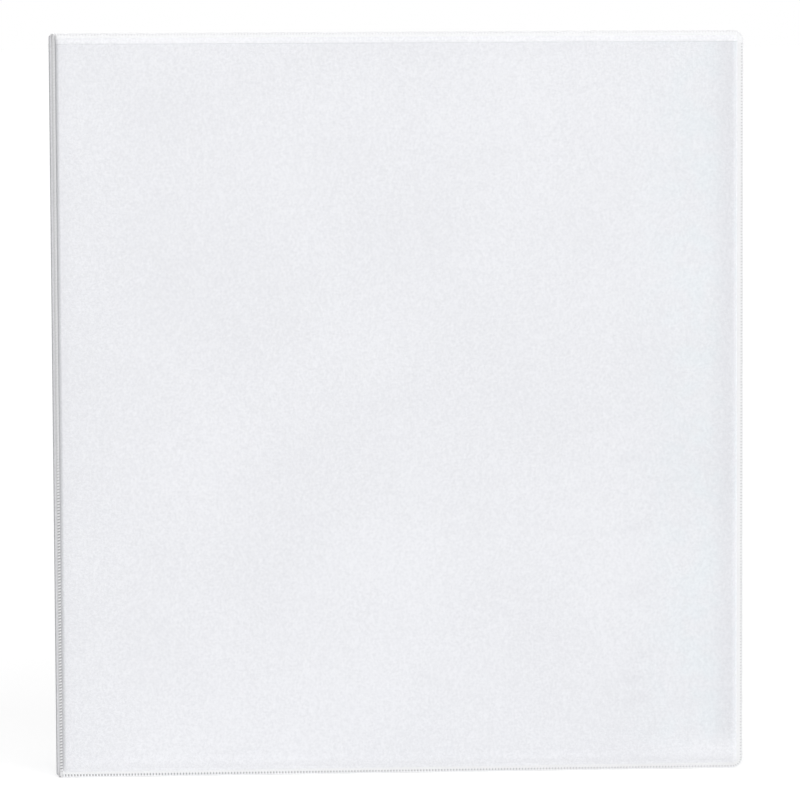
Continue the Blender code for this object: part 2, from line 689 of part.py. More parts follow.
def main():
    """Builds the binder with its outline's middle over the origin."""
    clear_scene()
    left = -HALF_PANEL - FILM_STACK
    front = -CREASE_SPACING - HALF_PANEL - FILM_STACK
    back = HALF_PANEL + LAYER_GAP + RIVET_HEAD_HEIGHT
    root = pivot("binder", Vector((-(COVER_WIDTH + left) / 2, -(front + back) / 2, 0.0)))
    spine_pivot = pivot("spine_pivot", Vector((0.0, 0.0, 0.0)), root)
    front_pivot = pivot("front_cover_pivot", Vector((0.0, -CREASE_SPACING, 0.0)), spine_pivot)
    build_cover_case(root, spine_pivot, front_pivot)
    build_ring_metal(root)


main()
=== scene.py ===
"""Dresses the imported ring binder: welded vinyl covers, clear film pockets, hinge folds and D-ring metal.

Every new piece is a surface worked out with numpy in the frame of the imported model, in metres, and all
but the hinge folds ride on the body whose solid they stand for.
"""

import logging
import math
from dataclasses import dataclass, field
from enum import Enum
from typing import Any, ClassVar

import bpy
import numpy as np
from mathutils import Matrix


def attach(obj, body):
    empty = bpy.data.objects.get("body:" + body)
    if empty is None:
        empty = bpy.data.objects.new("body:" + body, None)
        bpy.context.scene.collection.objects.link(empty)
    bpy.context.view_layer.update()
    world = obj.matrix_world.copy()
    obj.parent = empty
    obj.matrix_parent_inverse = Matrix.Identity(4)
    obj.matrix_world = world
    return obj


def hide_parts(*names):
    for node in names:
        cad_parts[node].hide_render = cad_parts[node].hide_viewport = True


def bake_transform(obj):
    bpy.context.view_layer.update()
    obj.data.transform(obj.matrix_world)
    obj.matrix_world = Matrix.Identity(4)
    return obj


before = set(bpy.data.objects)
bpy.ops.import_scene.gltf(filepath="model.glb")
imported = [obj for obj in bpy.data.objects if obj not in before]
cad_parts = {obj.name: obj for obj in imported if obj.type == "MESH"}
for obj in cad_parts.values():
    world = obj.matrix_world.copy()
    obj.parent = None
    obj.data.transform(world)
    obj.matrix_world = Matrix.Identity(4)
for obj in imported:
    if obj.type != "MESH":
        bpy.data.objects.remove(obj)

Array = np.ndarray
Node = bpy.types.Node
Socket = bpy.types.NodeSocket
Pair = tuple[float, float]
Triple = tuple[float, float, float]
Colour = tuple[float, float, float]

LOG = logging.getLogger("ring_binder")
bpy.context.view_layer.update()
UP: Triple = (0.0, 0.0, 1.0)
WHITE: Colour = (1.0, 1.0, 1.0)


class Body(Enum):
    """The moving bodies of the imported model."""

    BACK = "back_cover"
    SPINE = "spine"
    FRONT = "front_cover"
    CURVED = "curved_side"
    STRAIGHT = "straight_side"
    TOP_LEVER = "top_lever"
    BOTTOM_LEVER = "bottom_lever"


class Slot(Enum):
    """The record's material slots."""

    VINYL = "white_vinyl"
    FILM = "clear_film"
    STEEL = "plated_steel"
    BOARD = "chipboard"


class Mark(Enum):
    """Values that pieces carry on their points for their finishes to read; a missing one reads as 0."""

    PAINTED_GREY = "painted_grey"  # painted shade between weld teeth, on weld flats and along hinges; grey at pocket edges
    RIM = "film_rim"  # how near the film's cut edge is, where a dark line of painted shade lies
    TAUT = "film_taut"  # how tightly the film is drawn
    CAST = "film_cast"  # how far the film takes on its cool cast
    PAINTED_LIGHT = "film_painted_light"  # painted light: where the film's veil thins near the bottom weld and in the tight corner
    CREASE_SHADE = "film_crease_shade"  # painted shade on the film over its dents and along the fore weld


class Side(Enum):
    """The side of a panel's middle that a sheet lies on."""

    OUTER = 1.0
    INNER = -1.0


@dataclass
class Shape:
    """A closed surface: its points, its faces and the marks on its points."""

    points: Array
    faces: list[list[int]]
    marks: dict[Mark, Array] = field(default_factory=dict)


def ease(x: Array) -> Array:
    """A quarter sine from 0 to 1, steep at its start, flat past its end."""
    return np.sin(0.5 * np.pi * np.clip(x, 0.0, 1.0))


def smooth(x: Array) -> Array:
    """A cubic step from 0 to 1, flat at both ends."""
    t = np.clip(x, 0.0, 1.0)
    return t * t * (3.0 - 2.0 * t)


def teeth(phase: Array) -> Array:
    """A row of narrow teeth: the fourth power of a raised cosine."""
    return (0.5 + 0.5 * np.cos(phase)) ** 4


def around(count: int) -> Array:
    """Even angles round a full turn."""
    return np.linspace(0.0, 2.0 * np.pi, count, endpoint=False)


def rotated(points: Array, angle: float) -> Array:
    """Plane points turned about the origin."""
    first, second = points[..., 0], points[..., 1]
    across = first * math.cos(angle) - second * math.sin(angle)
    return np.stack([across, first * math.sin(angle) + second * math.cos(angle)], axis=-1)


def facing(right: Array, up: Array, back: Array, place: Triple = (0.0, 0.0, 0.0)) -> Matrix:
    """The matrix that puts a camera or a lamp at a place, by its own three axes."""
    rows = np.stack([right, up, back, np.asarray(place)], axis=-1)
    return Matrix([*rows.tolist(), [0.0, 0.0, 0.0, 1.0]])


def graded(start: float, stop: float, band: float, fine: float, coarse: float) -> Array:
    """Sample places that lie close together in a band at each end and further apart between.

    Args:
        start: The first place.
        stop: The last place.
        band: The width of each fine band.
        fine: The spacing in the bands.
        coarse: The spacing between them.

    Returns:
        The places in rising order.
    """
    near = np.linspace(start, start + band, max(round(band / fine), 1), endpoint=False)
    span = stop - start - 2.0 * band
    middle = np.linspace(start + band, stop - band, max(round(span / coarse), 1), endpoint=False)
    far = np.linspace(stop - band, stop, max(round(band / fine), 1) + 1)
    return np.concatenate([near, middle, far])


def cells(rows: int, columns: int, wrap: bool = False) -> Array:
    """The corner numbers of a grid's cells, row after row.

    Args:
        rows: How many rows of points there are.
        columns: How many points a row has.
        wrap: Whether the last column joins the first.

    Returns:
        An array of four corners for each cell.
    """
    index = np.arange(rows * columns).reshape(rows, columns)
    left = index if wrap else index[:, :-1]
    right = np.roll(index, -1, axis=1) if wrap else index[:, 1:]
    return np.stack([left[:-1], right[:-1], right[1:], left[1:]], axis=-1).reshape(-1, 4)


def turned_out(points: Array, faces: list[Array]) -> list[list[int]]:
    """Turns a closed surface's faces outwards, by the sign of the volume that they span.

    Args:
        points: The surface's points.
        faces: Groups of faces with as many corners in each group.

    Returns:
        One list of faces.
    """
    local = points - points.mean(axis=0)
    volume = 0.0
    for group in faces:
        first = local[group[:, 0]]
        for k in range(1, group.shape[1] - 1):
            volume += np.einsum("ij,ij->", first, np.cross(local[group[:, k]], local[group[:, k + 1]]))
    step = 1 if volume > 0.0 else -1
    return [face for group in faces for face in group[:, ::step].tolist()]


def closed_sheet(top: Array, bottom: Array, marks: dict[Mark, Array] | None = None) -> Shape:
    """A sheet with thickness: two grids of points, joined round their border.

    Args:
        top: One face's points as rows, columns, 3.
        bottom: The other face's points, as many.
        marks: Values on the grid, the same for both faces.

    Returns:
        The closed shape.
    """
    rows, columns = top.shape[:2]
    count = rows * columns
    index = np.arange(count).reshape(rows, columns)
    ring = np.concatenate([index[0], index[1:, -1], index[-1, -2::-1], index[-2:0:-1, 0]])
    after = np.roll(ring, -1)
    upper = cells(rows, columns)
    border = np.stack([after, ring, ring + count, after + count], axis=-1)
    points = np.concatenate([top.reshape(-1, 3), bottom.reshape(-1, 3)])
    faces = turned_out(points, [upper, upper[:, ::-1] + count, border])
    doubled = {mark: np.tile(value.ravel(), 2) for mark, value in (marks or {}).items()}
    return Shape(points, faces, doubled)


def carried(points: Array, marks: dict[Mark, Array] | None = None) -> Shape:
    """A closed profile carried along a path, with a flat face over each end.

    Args:
        points: Stations along the path, points round the profile, 3.
        marks: Values on that grid.

    Returns:
        The closed shape.
    """
    rows, columns = points.shape[:2]
    index = np.arange(rows * columns).reshape(rows, columns)
    flat = points.reshape(-1, 3)
    faces = turned_out(flat, [cells(rows, columns, wrap=True), index[:1, ::-1], index[-1:]])
    return Shape(flat, faces, {mark: value.ravel() for mark, value in (marks or {}).items()})


def heading_path(start: Pair, moves: list[Pair], step: float) -> tuple[Array, Array, Array]:
    """A plane path from its headings: these grow evenly along each move, and the places sum the steps.

    Args:
        start: The first point.
        moves: Length and turn of each run or arc; the first heading is along the first axis.
        step: The spacing of the samples.

    Returns:
        Points, headings in radians, and distances along the path.
    """
    lengths = np.array([length for length, _ in moves])
    knots = np.concatenate([[0.0], np.cumsum(lengths)])
    turns = np.concatenate([[0.0], np.cumsum([turn for _, turn in moves])])
    count = max(round(knots[-1] / step), 2)
    along = np.linspace(0.0, knots[-1], count + 1)
    heading = np.interp(along, knots, turns)
    middle = np.interp(0.5 * (along[1:] + along[:-1]), knots, turns)
    steps = np.stack([np.cos(middle), np.sin(middle)], axis=-1) * np.diff(along)[:, None]
    points = np.concatenate([np.zeros((1, 2)), np.cumsum(steps, axis=0)]) + np.asarray(start)
    return points, heading, along


class Wiring:
    """Adds nodes to one node tree and links them."""

    def __init__(self, tree: bpy.types.NodeTree) -> None:
        """Keeps the tree that the nodes go into."""
        self.tree = tree

    def feed(self, node: Node, inputs: dict[Any, Any]) -> None:
        """Sets a node's inputs, or links them where the value is a socket."""
        for name, value in inputs.items():
            if isinstance(value, Socket):
                self.tree.links.new(value, node.inputs[name])
            else:
                node.inputs[name].default_value = value

    def node(self, kind: str, inputs: dict[Any, Any] | None = None, **settings: Any) -> Node:
        """One node with its settings, and its inputs set or linked.

        Args:
            kind: Blender's name of the node's type.
            inputs: Socket names or numbers with a value, or a socket to link from.
            **settings: Properties of the node.

        Returns:
            The new node.
        """
        made = self.tree.nodes.new(kind)
        for name, value in settings.items():
            setattr(made, name, value)
        self.feed(made, inputs or {})
        return made

    def noise(self, vector: Any, scale: Any, detail: float, rough: float = 0.5) -> Socket:
        """A noise texture's value."""
        inputs = {"Vector": vector, "Scale": scale, "Detail": detail, "Roughness": rough}
        return self.node("ShaderNodeTexNoise", inputs).outputs[0]

    def math(self, operation: str, first: Any, second: Any = 0.0) -> Socket:
        """The result of one sum on two values."""
        return self.node("ShaderNodeMath", {0: first, 1: second}, operation=operation).outputs[0]

    def spread(self, value: Any, low: float, high: float, to_low: float, to_high: float) -> Socket:
        """A value moved from one range to another and kept inside it."""
        inputs = {0: value, 1: low, 2: high, 3: to_low, 4: to_high}
        return self.node("ShaderNodeMapRange", inputs, clamp=True).outputs[0]

    def blend(self, share: Any, first: Any, second: Any) -> Socket:
        """A colour between two others."""
        return self.node("ShaderNodeMix", {0: share, 6: first, 7: second}, data_type="RGBA").outputs[2]

    def mark(self, mark: Mark) -> Socket:
        """The value that a piece carries under a mark's name."""
        return self.node("ShaderNodeAttribute", attribute_name=mark.value).outputs["Fac"]

    def place(self) -> Socket:
        """The piece's own coordinates, in metres."""
        return self.node("ShaderNodeTexCoord").outputs["Object"]


def rgba(colour: Colour) -> tuple[float, float, float, float]:
    """A colour with full opacity."""
    return (*colour, 1.0)


class NodeGroups:
    """Effects that more than one finish uses, each built once."""

    DETAIL: ClassVar[float] = 1.0
    GRAIN_ROUGHNESS: ClassVar[float] = 0.6
    FINER: ClassVar[float] = 3.1

    def __init__(self) -> None:
        """Builds the groups."""
        self.grain = self._grain()
        self.handling = self._handling()

    @staticmethod
    def _new(name: str, inputs: dict[str, str], outputs: list[str]) -> tuple[bpy.types.NodeTree, Wiring]:
        """An empty group with its sockets.

        Args:
            name: The group's name.
            inputs: Socket names and types.
            outputs: Names of the values it puts out.

        Returns:
            The group and the wiring of its tree.
        """
        tree = bpy.data.node_groups.new(name, "ShaderNodeTree")
        for label, kind in inputs.items():
            tree.interface.new_socket(label, in_out="INPUT", socket_type=kind)
        for label in outputs:
            tree.interface.new_socket(label, in_out="OUTPUT", socket_type="NodeSocketFloat")
        return tree, Wiring(tree)

    def _grain(self) -> bpy.types.NodeTree:
        """Embossed pebble grain: worm-like noise, 0 to 1 high, and a finer one for the gloss."""
        sockets = {"Place": "NodeSocketVector", "Scale": "NodeSocketFloat"}
        tree, wire = self._new("embossed_grain", sockets, ["Height", "Fine"])
        given = wire.node("NodeGroupInput").outputs
        height = wire.noise(given["Place"], given["Scale"], self.DETAIL, self.GRAIN_ROUGHNESS)
        finer = wire.math("MULTIPLY", given["Scale"], self.FINER)
        fine = wire.noise(given["Place"], finer, 0.0)
        wire.node("NodeGroupOutput", {"Height": height, "Fine": fine})
        return tree

    def _handling(self) -> bpy.types.NodeTree:
        """Soft, wide unevenness from making and handling, 0 to 1, in clouds and in long streaks."""
        sockets = {"Place": "NodeSocketVector", "Scale": "NodeSocketFloat", "Stretch": "NodeSocketVector"}
        tree, wire = self._new("soft_handling", sockets, ["Cloud", "Streak"])
        given = wire.node("NodeGroupInput").outputs
        cloud = wire.noise(given["Place"], given["Scale"], self.DETAIL)
        factors = {0: given["Place"], 1: given["Stretch"]}
        drawn = wire.node("ShaderNodeVectorMath", factors, operation="MULTIPLY").outputs[0]
        streak = wire.noise(drawn, given["Scale"], self.DETAIL)
        wire.node("NodeGroupOutput", {"Cloud": cloud, "Streak": streak})
        return tree


GROUPS = NodeGroups()


@dataclass(frozen=True)
class Finish:
    """What every finish has: a name, the record's slot, its colour and how its surface is made."""

    name: str
    slot: Slot
    colour: Colour
    shade: Colour
    roughness: Pair
    grain_scale: float
    grain_depth: float
    cloud_scale: float
    stretch: Triple = (1.0, 1.0, 0.12)
    fine_range: Pair = (0.3, 0.7)

    def start(self) -> tuple[bpy.types.Material, Wiring, Node, Node, Node]:
        """A material with its shader and both shared effects.

        Returns:
            The material, its wiring, the shader, the grain group and the handling group.
        """
        material = bpy.data.materials.new(self.name)
        material.use_nodes = True
        wire = Wiring(material.node_tree)
        shader = material.node_tree.nodes["Principled BSDF"]
        inputs = {"Place": wire.place(), "Scale": self.grain_scale}
        grain = wire.node("ShaderNodeGroup", inputs, node_tree=GROUPS.grain)
        inputs.update({"Scale": self.cloud_scale, "Stretch": self.stretch})
        handling = wire.node("ShaderNodeGroup", inputs, node_tree=GROUPS.handling)
        return material, wire, shader, grain, handling

    def relief(self, wire: Wiring, shader: Node, height: Socket) -> None:
        """Feeds a height into the shader's normal, at the finish's depth.

        Args:
            wire: The material's wiring.
            shader: The material's shader.
            height: A height from 0 to 1.
        """
        inputs = {"Height": height, "Strength": 1.0, "Distance": self.grain_depth}
        bump = wire.node("ShaderNodeBump", inputs)
        wire.feed(shader, {"Normal": bump.outputs["Normal"]})

    def material(self) -> bpy.types.Material:
        """Each finish makes its own material."""
        raise NotImplementedError


@dataclass(frozen=True)
class VinylFinish(Finish):
    """Calendered white vinyl: satin, finely grained, with painted shade in the grain's hollows, in weld teeth
    and along hinges.
    """

    # Near black that the painted grey mark blends to: painted shadow between weld teeth, painted shade along
    # hinges.
    pressed_and_shaded: Colour = (0.05, 0.052, 0.06)
    cloud_share: float = 0.35
    mottle: Pair = (0.475, 0.875)

    def material(self) -> bpy.types.Material:
        """The vinyl's material."""
        material, wire, shader, grain, handling = self.start()
        # The clouds are uneven tone; the grain's height greys the colour as painted shade in its hollows.
        cloud = wire.math("MULTIPLY", handling.outputs["Cloud"], self.cloud_share)
        uneven = wire.math("ADD", cloud, grain.outputs["Height"])
        mottled = wire.spread(uneven, *self.mottle, 0.0, 1.0)
        body = wire.blend(mottled, rgba(self.colour), rgba(self.shade))
        # The painted grey mark lays painted shade in weld teeth, on weld flats and along hinges.
        looks = {
            "Base Color": wire.blend(wire.mark(Mark.PAINTED_GREY), body, rgba(self.pressed_and_shaded)),
            "Roughness": wire.spread(grain.outputs["Fine"], *self.fine_range, *self.roughness),
        }
        wire.feed(shader, looks)
        self.relief(wire, shader, grain.outputs["Height"])
        return material


@dataclass(frozen=True)
class FilmFinish(Finish):
    """Clear film: it veils what lies under it and shines softly; painted shade darkens its cut edge, its
    creases and its fore edge, and painted light thins its veil near the bottom weld.
    """

    veil: float = 0.085
    # Share of the veil left where painted light thins it.
    lit_veil: float = 0.2
    # Extra veil and dark colour of the painted shade at the cut edge and over the creases.
    rim_shade_veil: float = 0.14
    crease_shade_veil: float = 0.025
    rim_shade_colour: Colour = (0.72, 0.73, 0.77)
    cast: Colour = (0.74, 0.875, 0.905)
    patch_scale: float = 125.0
    patch_detail: float = 2.0
    patch_range: Pair = (0.46, 0.58)
    patch_least: float = 0.15
    taut_grain: float = 0.1

    def material(self) -> bpy.types.Material:
        """The film's material."""
        material, wire, shader, grain, handling = self.start()
        rim, crease = wire.mark(Mark.RIM), wire.mark(Mark.CREASE_SHADE)
        noise = wire.noise(wire.place(), self.patch_scale, self.patch_detail)
        patches = wire.spread(noise, *self.patch_range, self.patch_least, 1.0)
        cast = wire.math("MULTIPLY", wire.mark(Mark.CAST), patches)
        body = wire.blend(handling.outputs["Streak"], rgba(self.colour), rgba(self.shade))
        body = wire.blend(cast, body, rgba(self.cast))
        # Painted shade: the cut edge and the creases take the dark colour and more veil; painted light: the
        # veil thins near the bottom weld and in the tight corner.
        painted_shade = wire.math("MAXIMUM", rim, crease)
        alpha = wire.spread(rim, 0.0, 1.0, self.veil, self.rim_shade_veil)
        alpha = wire.math("ADD", alpha, wire.math("MULTIPLY", crease, self.crease_shade_veil))
        bottom_light = wire.spread(wire.mark(Mark.PAINTED_LIGHT), 0.0, 1.0, 1.0, self.lit_veil)
        looks = {
            "Base Color": wire.blend(painted_shade, body, rgba(self.rim_shade_colour)),
            "Alpha": wire.math("MULTIPLY", alpha, bottom_light),
            "Roughness": wire.spread(handling.outputs["Cloud"], 0.0, 1.0, *self.roughness),
        }
        wire.feed(shader, looks)
        slack = wire.spread(wire.mark(Mark.TAUT), 0.0, 1.0, 1.0, self.taut_grain)
        self.relief(wire, shader, wire.math("MULTIPLY", grain.outputs["Height"], slack))
        return material


@dataclass(frozen=True)
class SteelFinish(Finish):
    """Bright nickel plate, with fine draw lines and a little uneven gloss."""

    fine_share: float = 0.4

    def material(self) -> bpy.types.Material:
        """The plate's material."""
        material, wire, shader, grain, handling = self.start()
        fine = wire.math("MULTIPLY", grain.outputs["Fine"], self.fine_share)
        gloss = wire.math("ADD", handling.outputs["Streak"], fine)
        looks = {
            "Metallic": 1.0,
            "Base Color": wire.blend(handling.outputs["Cloud"], rgba(self.colour), rgba(self.shade)),
            "Roughness": wire.spread(gloss, 0.0, 1.0 + self.fine_share, *self.roughness),
        }
        wire.feed(shader, looks)
        self.relief(wire, shader, handling.outputs["Streak"])
        return material


@dataclass(frozen=True)
class BoardFinish(Finish):
    """Grey pulp board with short fibres."""

    fine_range: Pair = (0.2, 0.8)

    def material(self) -> bpy.types.Material:
        """The board's material."""
        material, wire, shader, grain, handling = self.start()
        both = wire.math("ADD", grain.outputs["Height"], handling.outputs["Streak"])
        fibre = wire.math("MULTIPLY", both, 0.5)
        looks = {
            "Base Color": wire.blend(fibre, rgba(self.colour), rgba(self.shade)),
            "Roughness": wire.spread(grain.outputs["Fine"], *self.fine_range, *self.roughness),
        }
        wire.feed(shader, looks)
        self.relief(wire, shader, fibre)
        return material


class Finishes:
    """The binder's finishes, with the material of each made once."""

    COVER_VINYL = VinylFinish(
        "cover_vinyl", Slot.VINYL, colour=(0.958, 0.962, 0.989), shade=(0.854, 0.858, 0.886),
        roughness=(0.36, 0.50), grain_scale=1200.0, grain_depth=90e-6, cloud_scale=16.0,
    )
    WELD_VINYL = VinylFinish(
        "weld_vinyl", Slot.VINYL, colour=(0.940, 0.942, 0.952), shade=(0.915, 0.918, 0.932),
        roughness=(0.26, 0.38), grain_scale=1400.0, grain_depth=3e-6, cloud_scale=40.0,
    )
    LINING_VINYL = VinylFinish(
        "lining_vinyl", Slot.VINYL, colour=(0.880, 0.885, 0.900), shade=(0.860, 0.866, 0.884),
        roughness=(0.42, 0.56), grain_scale=700.0, grain_depth=12e-6, cloud_scale=12.0,
    )
    CLEAR_FILM = FilmFinish(
        "clear_film", Slot.FILM, colour=(0.870, 0.878, 0.905), shade=(0.830, 0.850, 0.880),
        roughness=(0.24, 0.36), grain_scale=850.0, grain_depth=60e-6, cloud_scale=14.0,
    )
    NICKEL = SteelFinish(
        "nickel_plate", Slot.STEEL, colour=(0.74, 0.73, 0.71), shade=(0.66, 0.65, 0.63),
        roughness=(0.14, 0.30), grain_scale=2600.0, grain_depth=1.5e-6, cloud_scale=160.0,
    )
    PULP_BOARD = BoardFinish(
        "pulp_board", Slot.BOARD, colour=(0.42, 0.38, 0.33), shade=(0.30, 0.27, 0.23),
        roughness=(0.75, 0.95), grain_scale=1500.0, grain_depth=2e-5, cloud_scale=300.0,
    )

    _made: dict[str, bpy.types.Material] = {}

    @classmethod
    def of(cls, finish: Finish) -> bpy.types.Material:
        """The material of a finish, made the first time it is asked for."""
        if finish.name not in cls._made:
            cls._made[finish.name] = finish.material()
        return cls._made[finish.name]


def make_piece(
    name: str, shape: Shape, finish: Finish, node: str, smooth_angle: float = 40.0
) -> bpy.types.Object:
    """Makes one object with its finish and says which solid it stands for.

    Args:
        name: The piece's name.
        shape: Its surface.
        finish: Its finish.
        node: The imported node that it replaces, alone or with others.
        smooth_angle: Edges sharper than this, in degrees, stay sharp.

    Returns:
        The object, which rides on nothing yet.
    """
    mesh = bpy.data.meshes.new(name)
    mesh.from_pydata(shape.points, [], shape.faces)
    for mark, values in shape.marks.items():
        layer = mesh.attributes.new(mark.value, "FLOAT", "POINT")
        layer.data.foreach_set("value", np.ascontiguousarray(values, dtype=np.float32))
    mesh.shade_smooth()
    mesh.set_sharp_from_angle(angle=math.radians(smooth_angle))
    mesh.materials.append(Finishes.of(finish))
    piece = bpy.data.objects.new(name, mesh)
    bpy.context.scene.collection.objects.link(piece)
    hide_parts(node)
    LOG.info("%s: %d faces, for %s", name, len(shape.faces), node)
    return piece


def ride(piece: bpy.types.Object, body: Body) -> bpy.types.Object:
    """Lets a piece move with a body."""
    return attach(piece, body.value)


@dataclass(frozen=True)
class CaseSizes:
    """Sizes that the three panels share, in metres, and the painted shade in the welds' teeth and on their
    flats.
    """

    height: float = 0.2953
    half_panel: float = 0.0013
    half_bead: float = 0.0005
    fore_weld: float = 0.0024
    end_weld: float = 0.0018
    end_bead: float = 0.0026
    hinge_bead: float = 0.0032
    slope: float = 0.0018
    low_slope: float = 0.0046
    tuck: float = 0.00015
    corner: float = 0.0042
    vinyl: float = 0.00025
    film: float = 0.00010
    film_lift: float = 0.00012
    film_drop: float = 0.0042
    film_rim: float = 0.00044
    tick_pitch: float = 0.00120
    tick_depth: float = 0.00020
    tick_samples: int = 4
    # Painted shade between the welds' teeth on each stretch: strong by the hinge and along the bottom, less
    # up the fore edge, faint along the top; then the painted grey shade on the welds' flats, darkest by the
    # hinge at the top.
    hinge_tooth_shade: float = 1.0
    turn_tooth_shade: float = 0.6
    low_tooth_shade: float = 0.85
    fore_tooth_shade: float = 0.50
    top_tooth_shade: float = 0.12
    low_grey: float = 0.04
    turn_grey: float = 0.10
    fore_grey: float = 0.055
    hinge_grey: float = 0.55
    hinge_end: float = 0.0012
    fade: float = 0.0020
    fine_band: float = 0.0055
    fine_step: float = 0.00022


CASE = CaseSizes()


@dataclass(frozen=True)
class PanelFrame:
    """Where a panel lies: its crease, the way it runs from there and the way its outer face looks."""

    crease: Triple
    along: Triple
    outward: Triple
    near: float
    far: float

    def place(self, u: Array, v: Array, w: Array) -> Array:
        """Points at u from the crease, v up and w outwards from the panel's middle."""
        ways = ((self.along, u), (UP, v), (self.outward, w))
        along, up, out = (np.asarray(axis) * value[..., None] for axis, value in ways)
        return np.asarray(self.crease) + along + up + out


@dataclass(frozen=True)
class Edges:
    """Where a sheet ends on each side of its panel, and how wide its slope is there; 0 is a cut edge."""

    near: float
    far: float
    low: float
    high: float
    near_slope: float
    far_slope: float
    low_slope: float
    high_slope: float

    def grid(self, coarse: float) -> tuple[Array, Array]:
        """Sample places over the sheet, close together along its edges."""
        u = graded(self.near, self.far, CASE.fine_band, CASE.fine_step, coarse)
        v = graded(self.low, self.high, CASE.fine_band, CASE.fine_step, coarse)
        return np.meshgrid(u, v)

    def rise(self, u: Array, v: Array) -> Array:
        """How far the sheet has risen from its welds: the product of a quarter sine for each side."""
        sides = (
            (u - self.near, self.near_slope),
            (self.far - u, self.far_slope),
            (v - self.low, self.low_slope),
            (self.high - v, self.high_slope),
        )
        risen = np.ones_like(u)
        for distance, slope in sides:
            if slope:
                risen = risen * ease(distance / slope)
        return risen


@dataclass(frozen=True)
class Dent:
    """A shallow slanting crease in the film, as a narrow windowed ridge."""

    u: float
    v: float
    length: float
    width: float
    slant: float
    depth: float

    def across(self, u: Array, v: Array) -> Array:
        """The distance from the crease's middle line, in its own width."""
        return ((v - self.v) * math.cos(self.slant) - (u - self.u) * math.sin(self.slant)) / self.width

    def bell(self, u: Array, v: Array) -> Array:
        """A bell over the crease, 1 at its middle, along it and across it."""
        along = (u - self.u) * math.cos(self.slant) + (v - self.v) * math.sin(self.slant)
        return np.exp(-((along / self.length) ** 2) - self.across(u, v) ** 2)

    def height(self, u: Array, v: Array) -> Array:
        """A sine across the crease, faded by its bell."""
        return self.depth * self.bell(u, v) * np.sin(2.0 * self.across(u, v))


@dataclass(frozen=True)
class FilmRelief:
    """How the front film lies: faint level ripples near the spine, slanting dents and a tight corner, with
    painted shade and painted light on it.
    """

    ripple_depth: float = 0.000018
    ripple_length: float = 0.0105
    ripple_reach: float = 0.150
    # Size in radians, length and start of each wave in the ripples' phase, across the sheet and up it
    across_waves: tuple[Triple, ...] = ((3.0, 0.031, 0.0), (2.0, 0.017, 1.3))
    up_wave: Pair = (1.7, 0.043)
    dents: tuple[Dent, ...] = (
        Dent(0.2275, 0.1250, 0.0075, 0.0022, 0.30, 3.2e-5),
        Dent(0.2305, 0.0985, 0.0070, 0.0024, 0.42, 3.0e-5),
        Dent(0.2315, 0.0728, 0.0075, 0.0022, 0.45, 3.4e-5),
        Dent(0.2312, 0.0460, 0.0065, 0.0024, 0.40, 2.8e-5),
        Dent(0.2285, 0.0369, 0.0060, 0.0020, 0.20, 2.2e-5),
        Dent(0.2300, 0.0285, 0.0060, 0.0020, 0.25, 2.2e-5),
    )
    # How much painted shade the dents carry, as a share.
    dent_shade: float = 0.5
    taut_corner: Pair = (0.2734, 0.0)
    taut_size: Pair = (0.060, 0.013)
    taut_reach: float = 1.35
    # Painted light in the tight corner, as a share.
    taut_light: float = 0.6
    cast_start: float = 0.220
    cast_width: float = 0.045
    # Painted light near the bottom weld: its reach up the sheet, and how much less of it lies by the fore
    # corner.
    bottom_light_reach: float = 0.0095
    bottom_light_loss: float = 0.6
    # Where the lopsided painted shade along the fore weld lies, and its widths before and after that line.
    fore_line: float = 0.2678
    fore_widths: Pair = (0.0060, 0.0020)

    def height(self, u: Array, v: Array) -> Array:
        """Ripples as a sine whose phase wanders across the sheet, plus the dents."""
        wander = sum(size * np.sin(u / length + start) for size, length, start in self.across_waves)
        wander = wander + self.up_wave[0] * np.sin(v / self.up_wave[1])
        fade = smooth(1.0 - u / self.ripple_reach)
        ripples = self.ripple_depth * fade * np.sin(2.0 * np.pi * v / self.ripple_length + wander)
        return ripples + sum(dent.height(u, v) for dent in self.dents)

    def cast(self, u: Array) -> Array:
        """How cool the film looks: a cubic step towards the fore edge."""
        return smooth((u - self.cast_start) / self.cast_width)

    def bottom_light(self, u: Array, v: Array) -> Array:
        """Painted light near the bottom weld: 1 at the weld, fading over a cubic step, less by the fore
        corner.
        """
        return smooth(1.0 - v / self.bottom_light_reach) * (1.0 - self.bottom_light_loss * self.cast(u))

    def crease(self, u: Array, v: Array) -> Array:
        """Painted shade on the film: the dents' bells, and a lopsided bell along the fore weld."""
        off = u - self.fore_line
        fore_shade = np.exp(-((off / np.where(off < 0.0, *self.fore_widths)) ** 2))
        dents = sum(dent.bell(u, v) for dent in self.dents)
        return np.clip(fore_shade + self.dent_shade * dents, 0.0, 1.0)

    def taut(self, u: Array, v: Array) -> Array:
        """How tight the film is: 1 at the lower fore corner, fading over an ellipse."""
        across = (self.taut_corner[0] - u) / self.taut_size[0]
        up = (v - self.taut_corner[1]) / self.taut_size[1]
        return smooth(self.taut_reach - np.hypot(across, up))

    def marks(self, u: Array, v: Array) -> dict[Mark, Array]:
        """What the film carries for its finish; where it is tight it has neither the cool cast nor painted
        shade, and takes painted light.
        """
        taut = self.taut(u, v)
        return {
            Mark.TAUT: taut,
            Mark.CAST: self.cast(u) * (1.0 - taut),
            Mark.PAINTED_LIGHT: np.maximum(self.bottom_light(u, v), self.taut_light * taut),
            Mark.CREASE_SHADE: self.crease(u, v) * (1.0 - taut),
        }


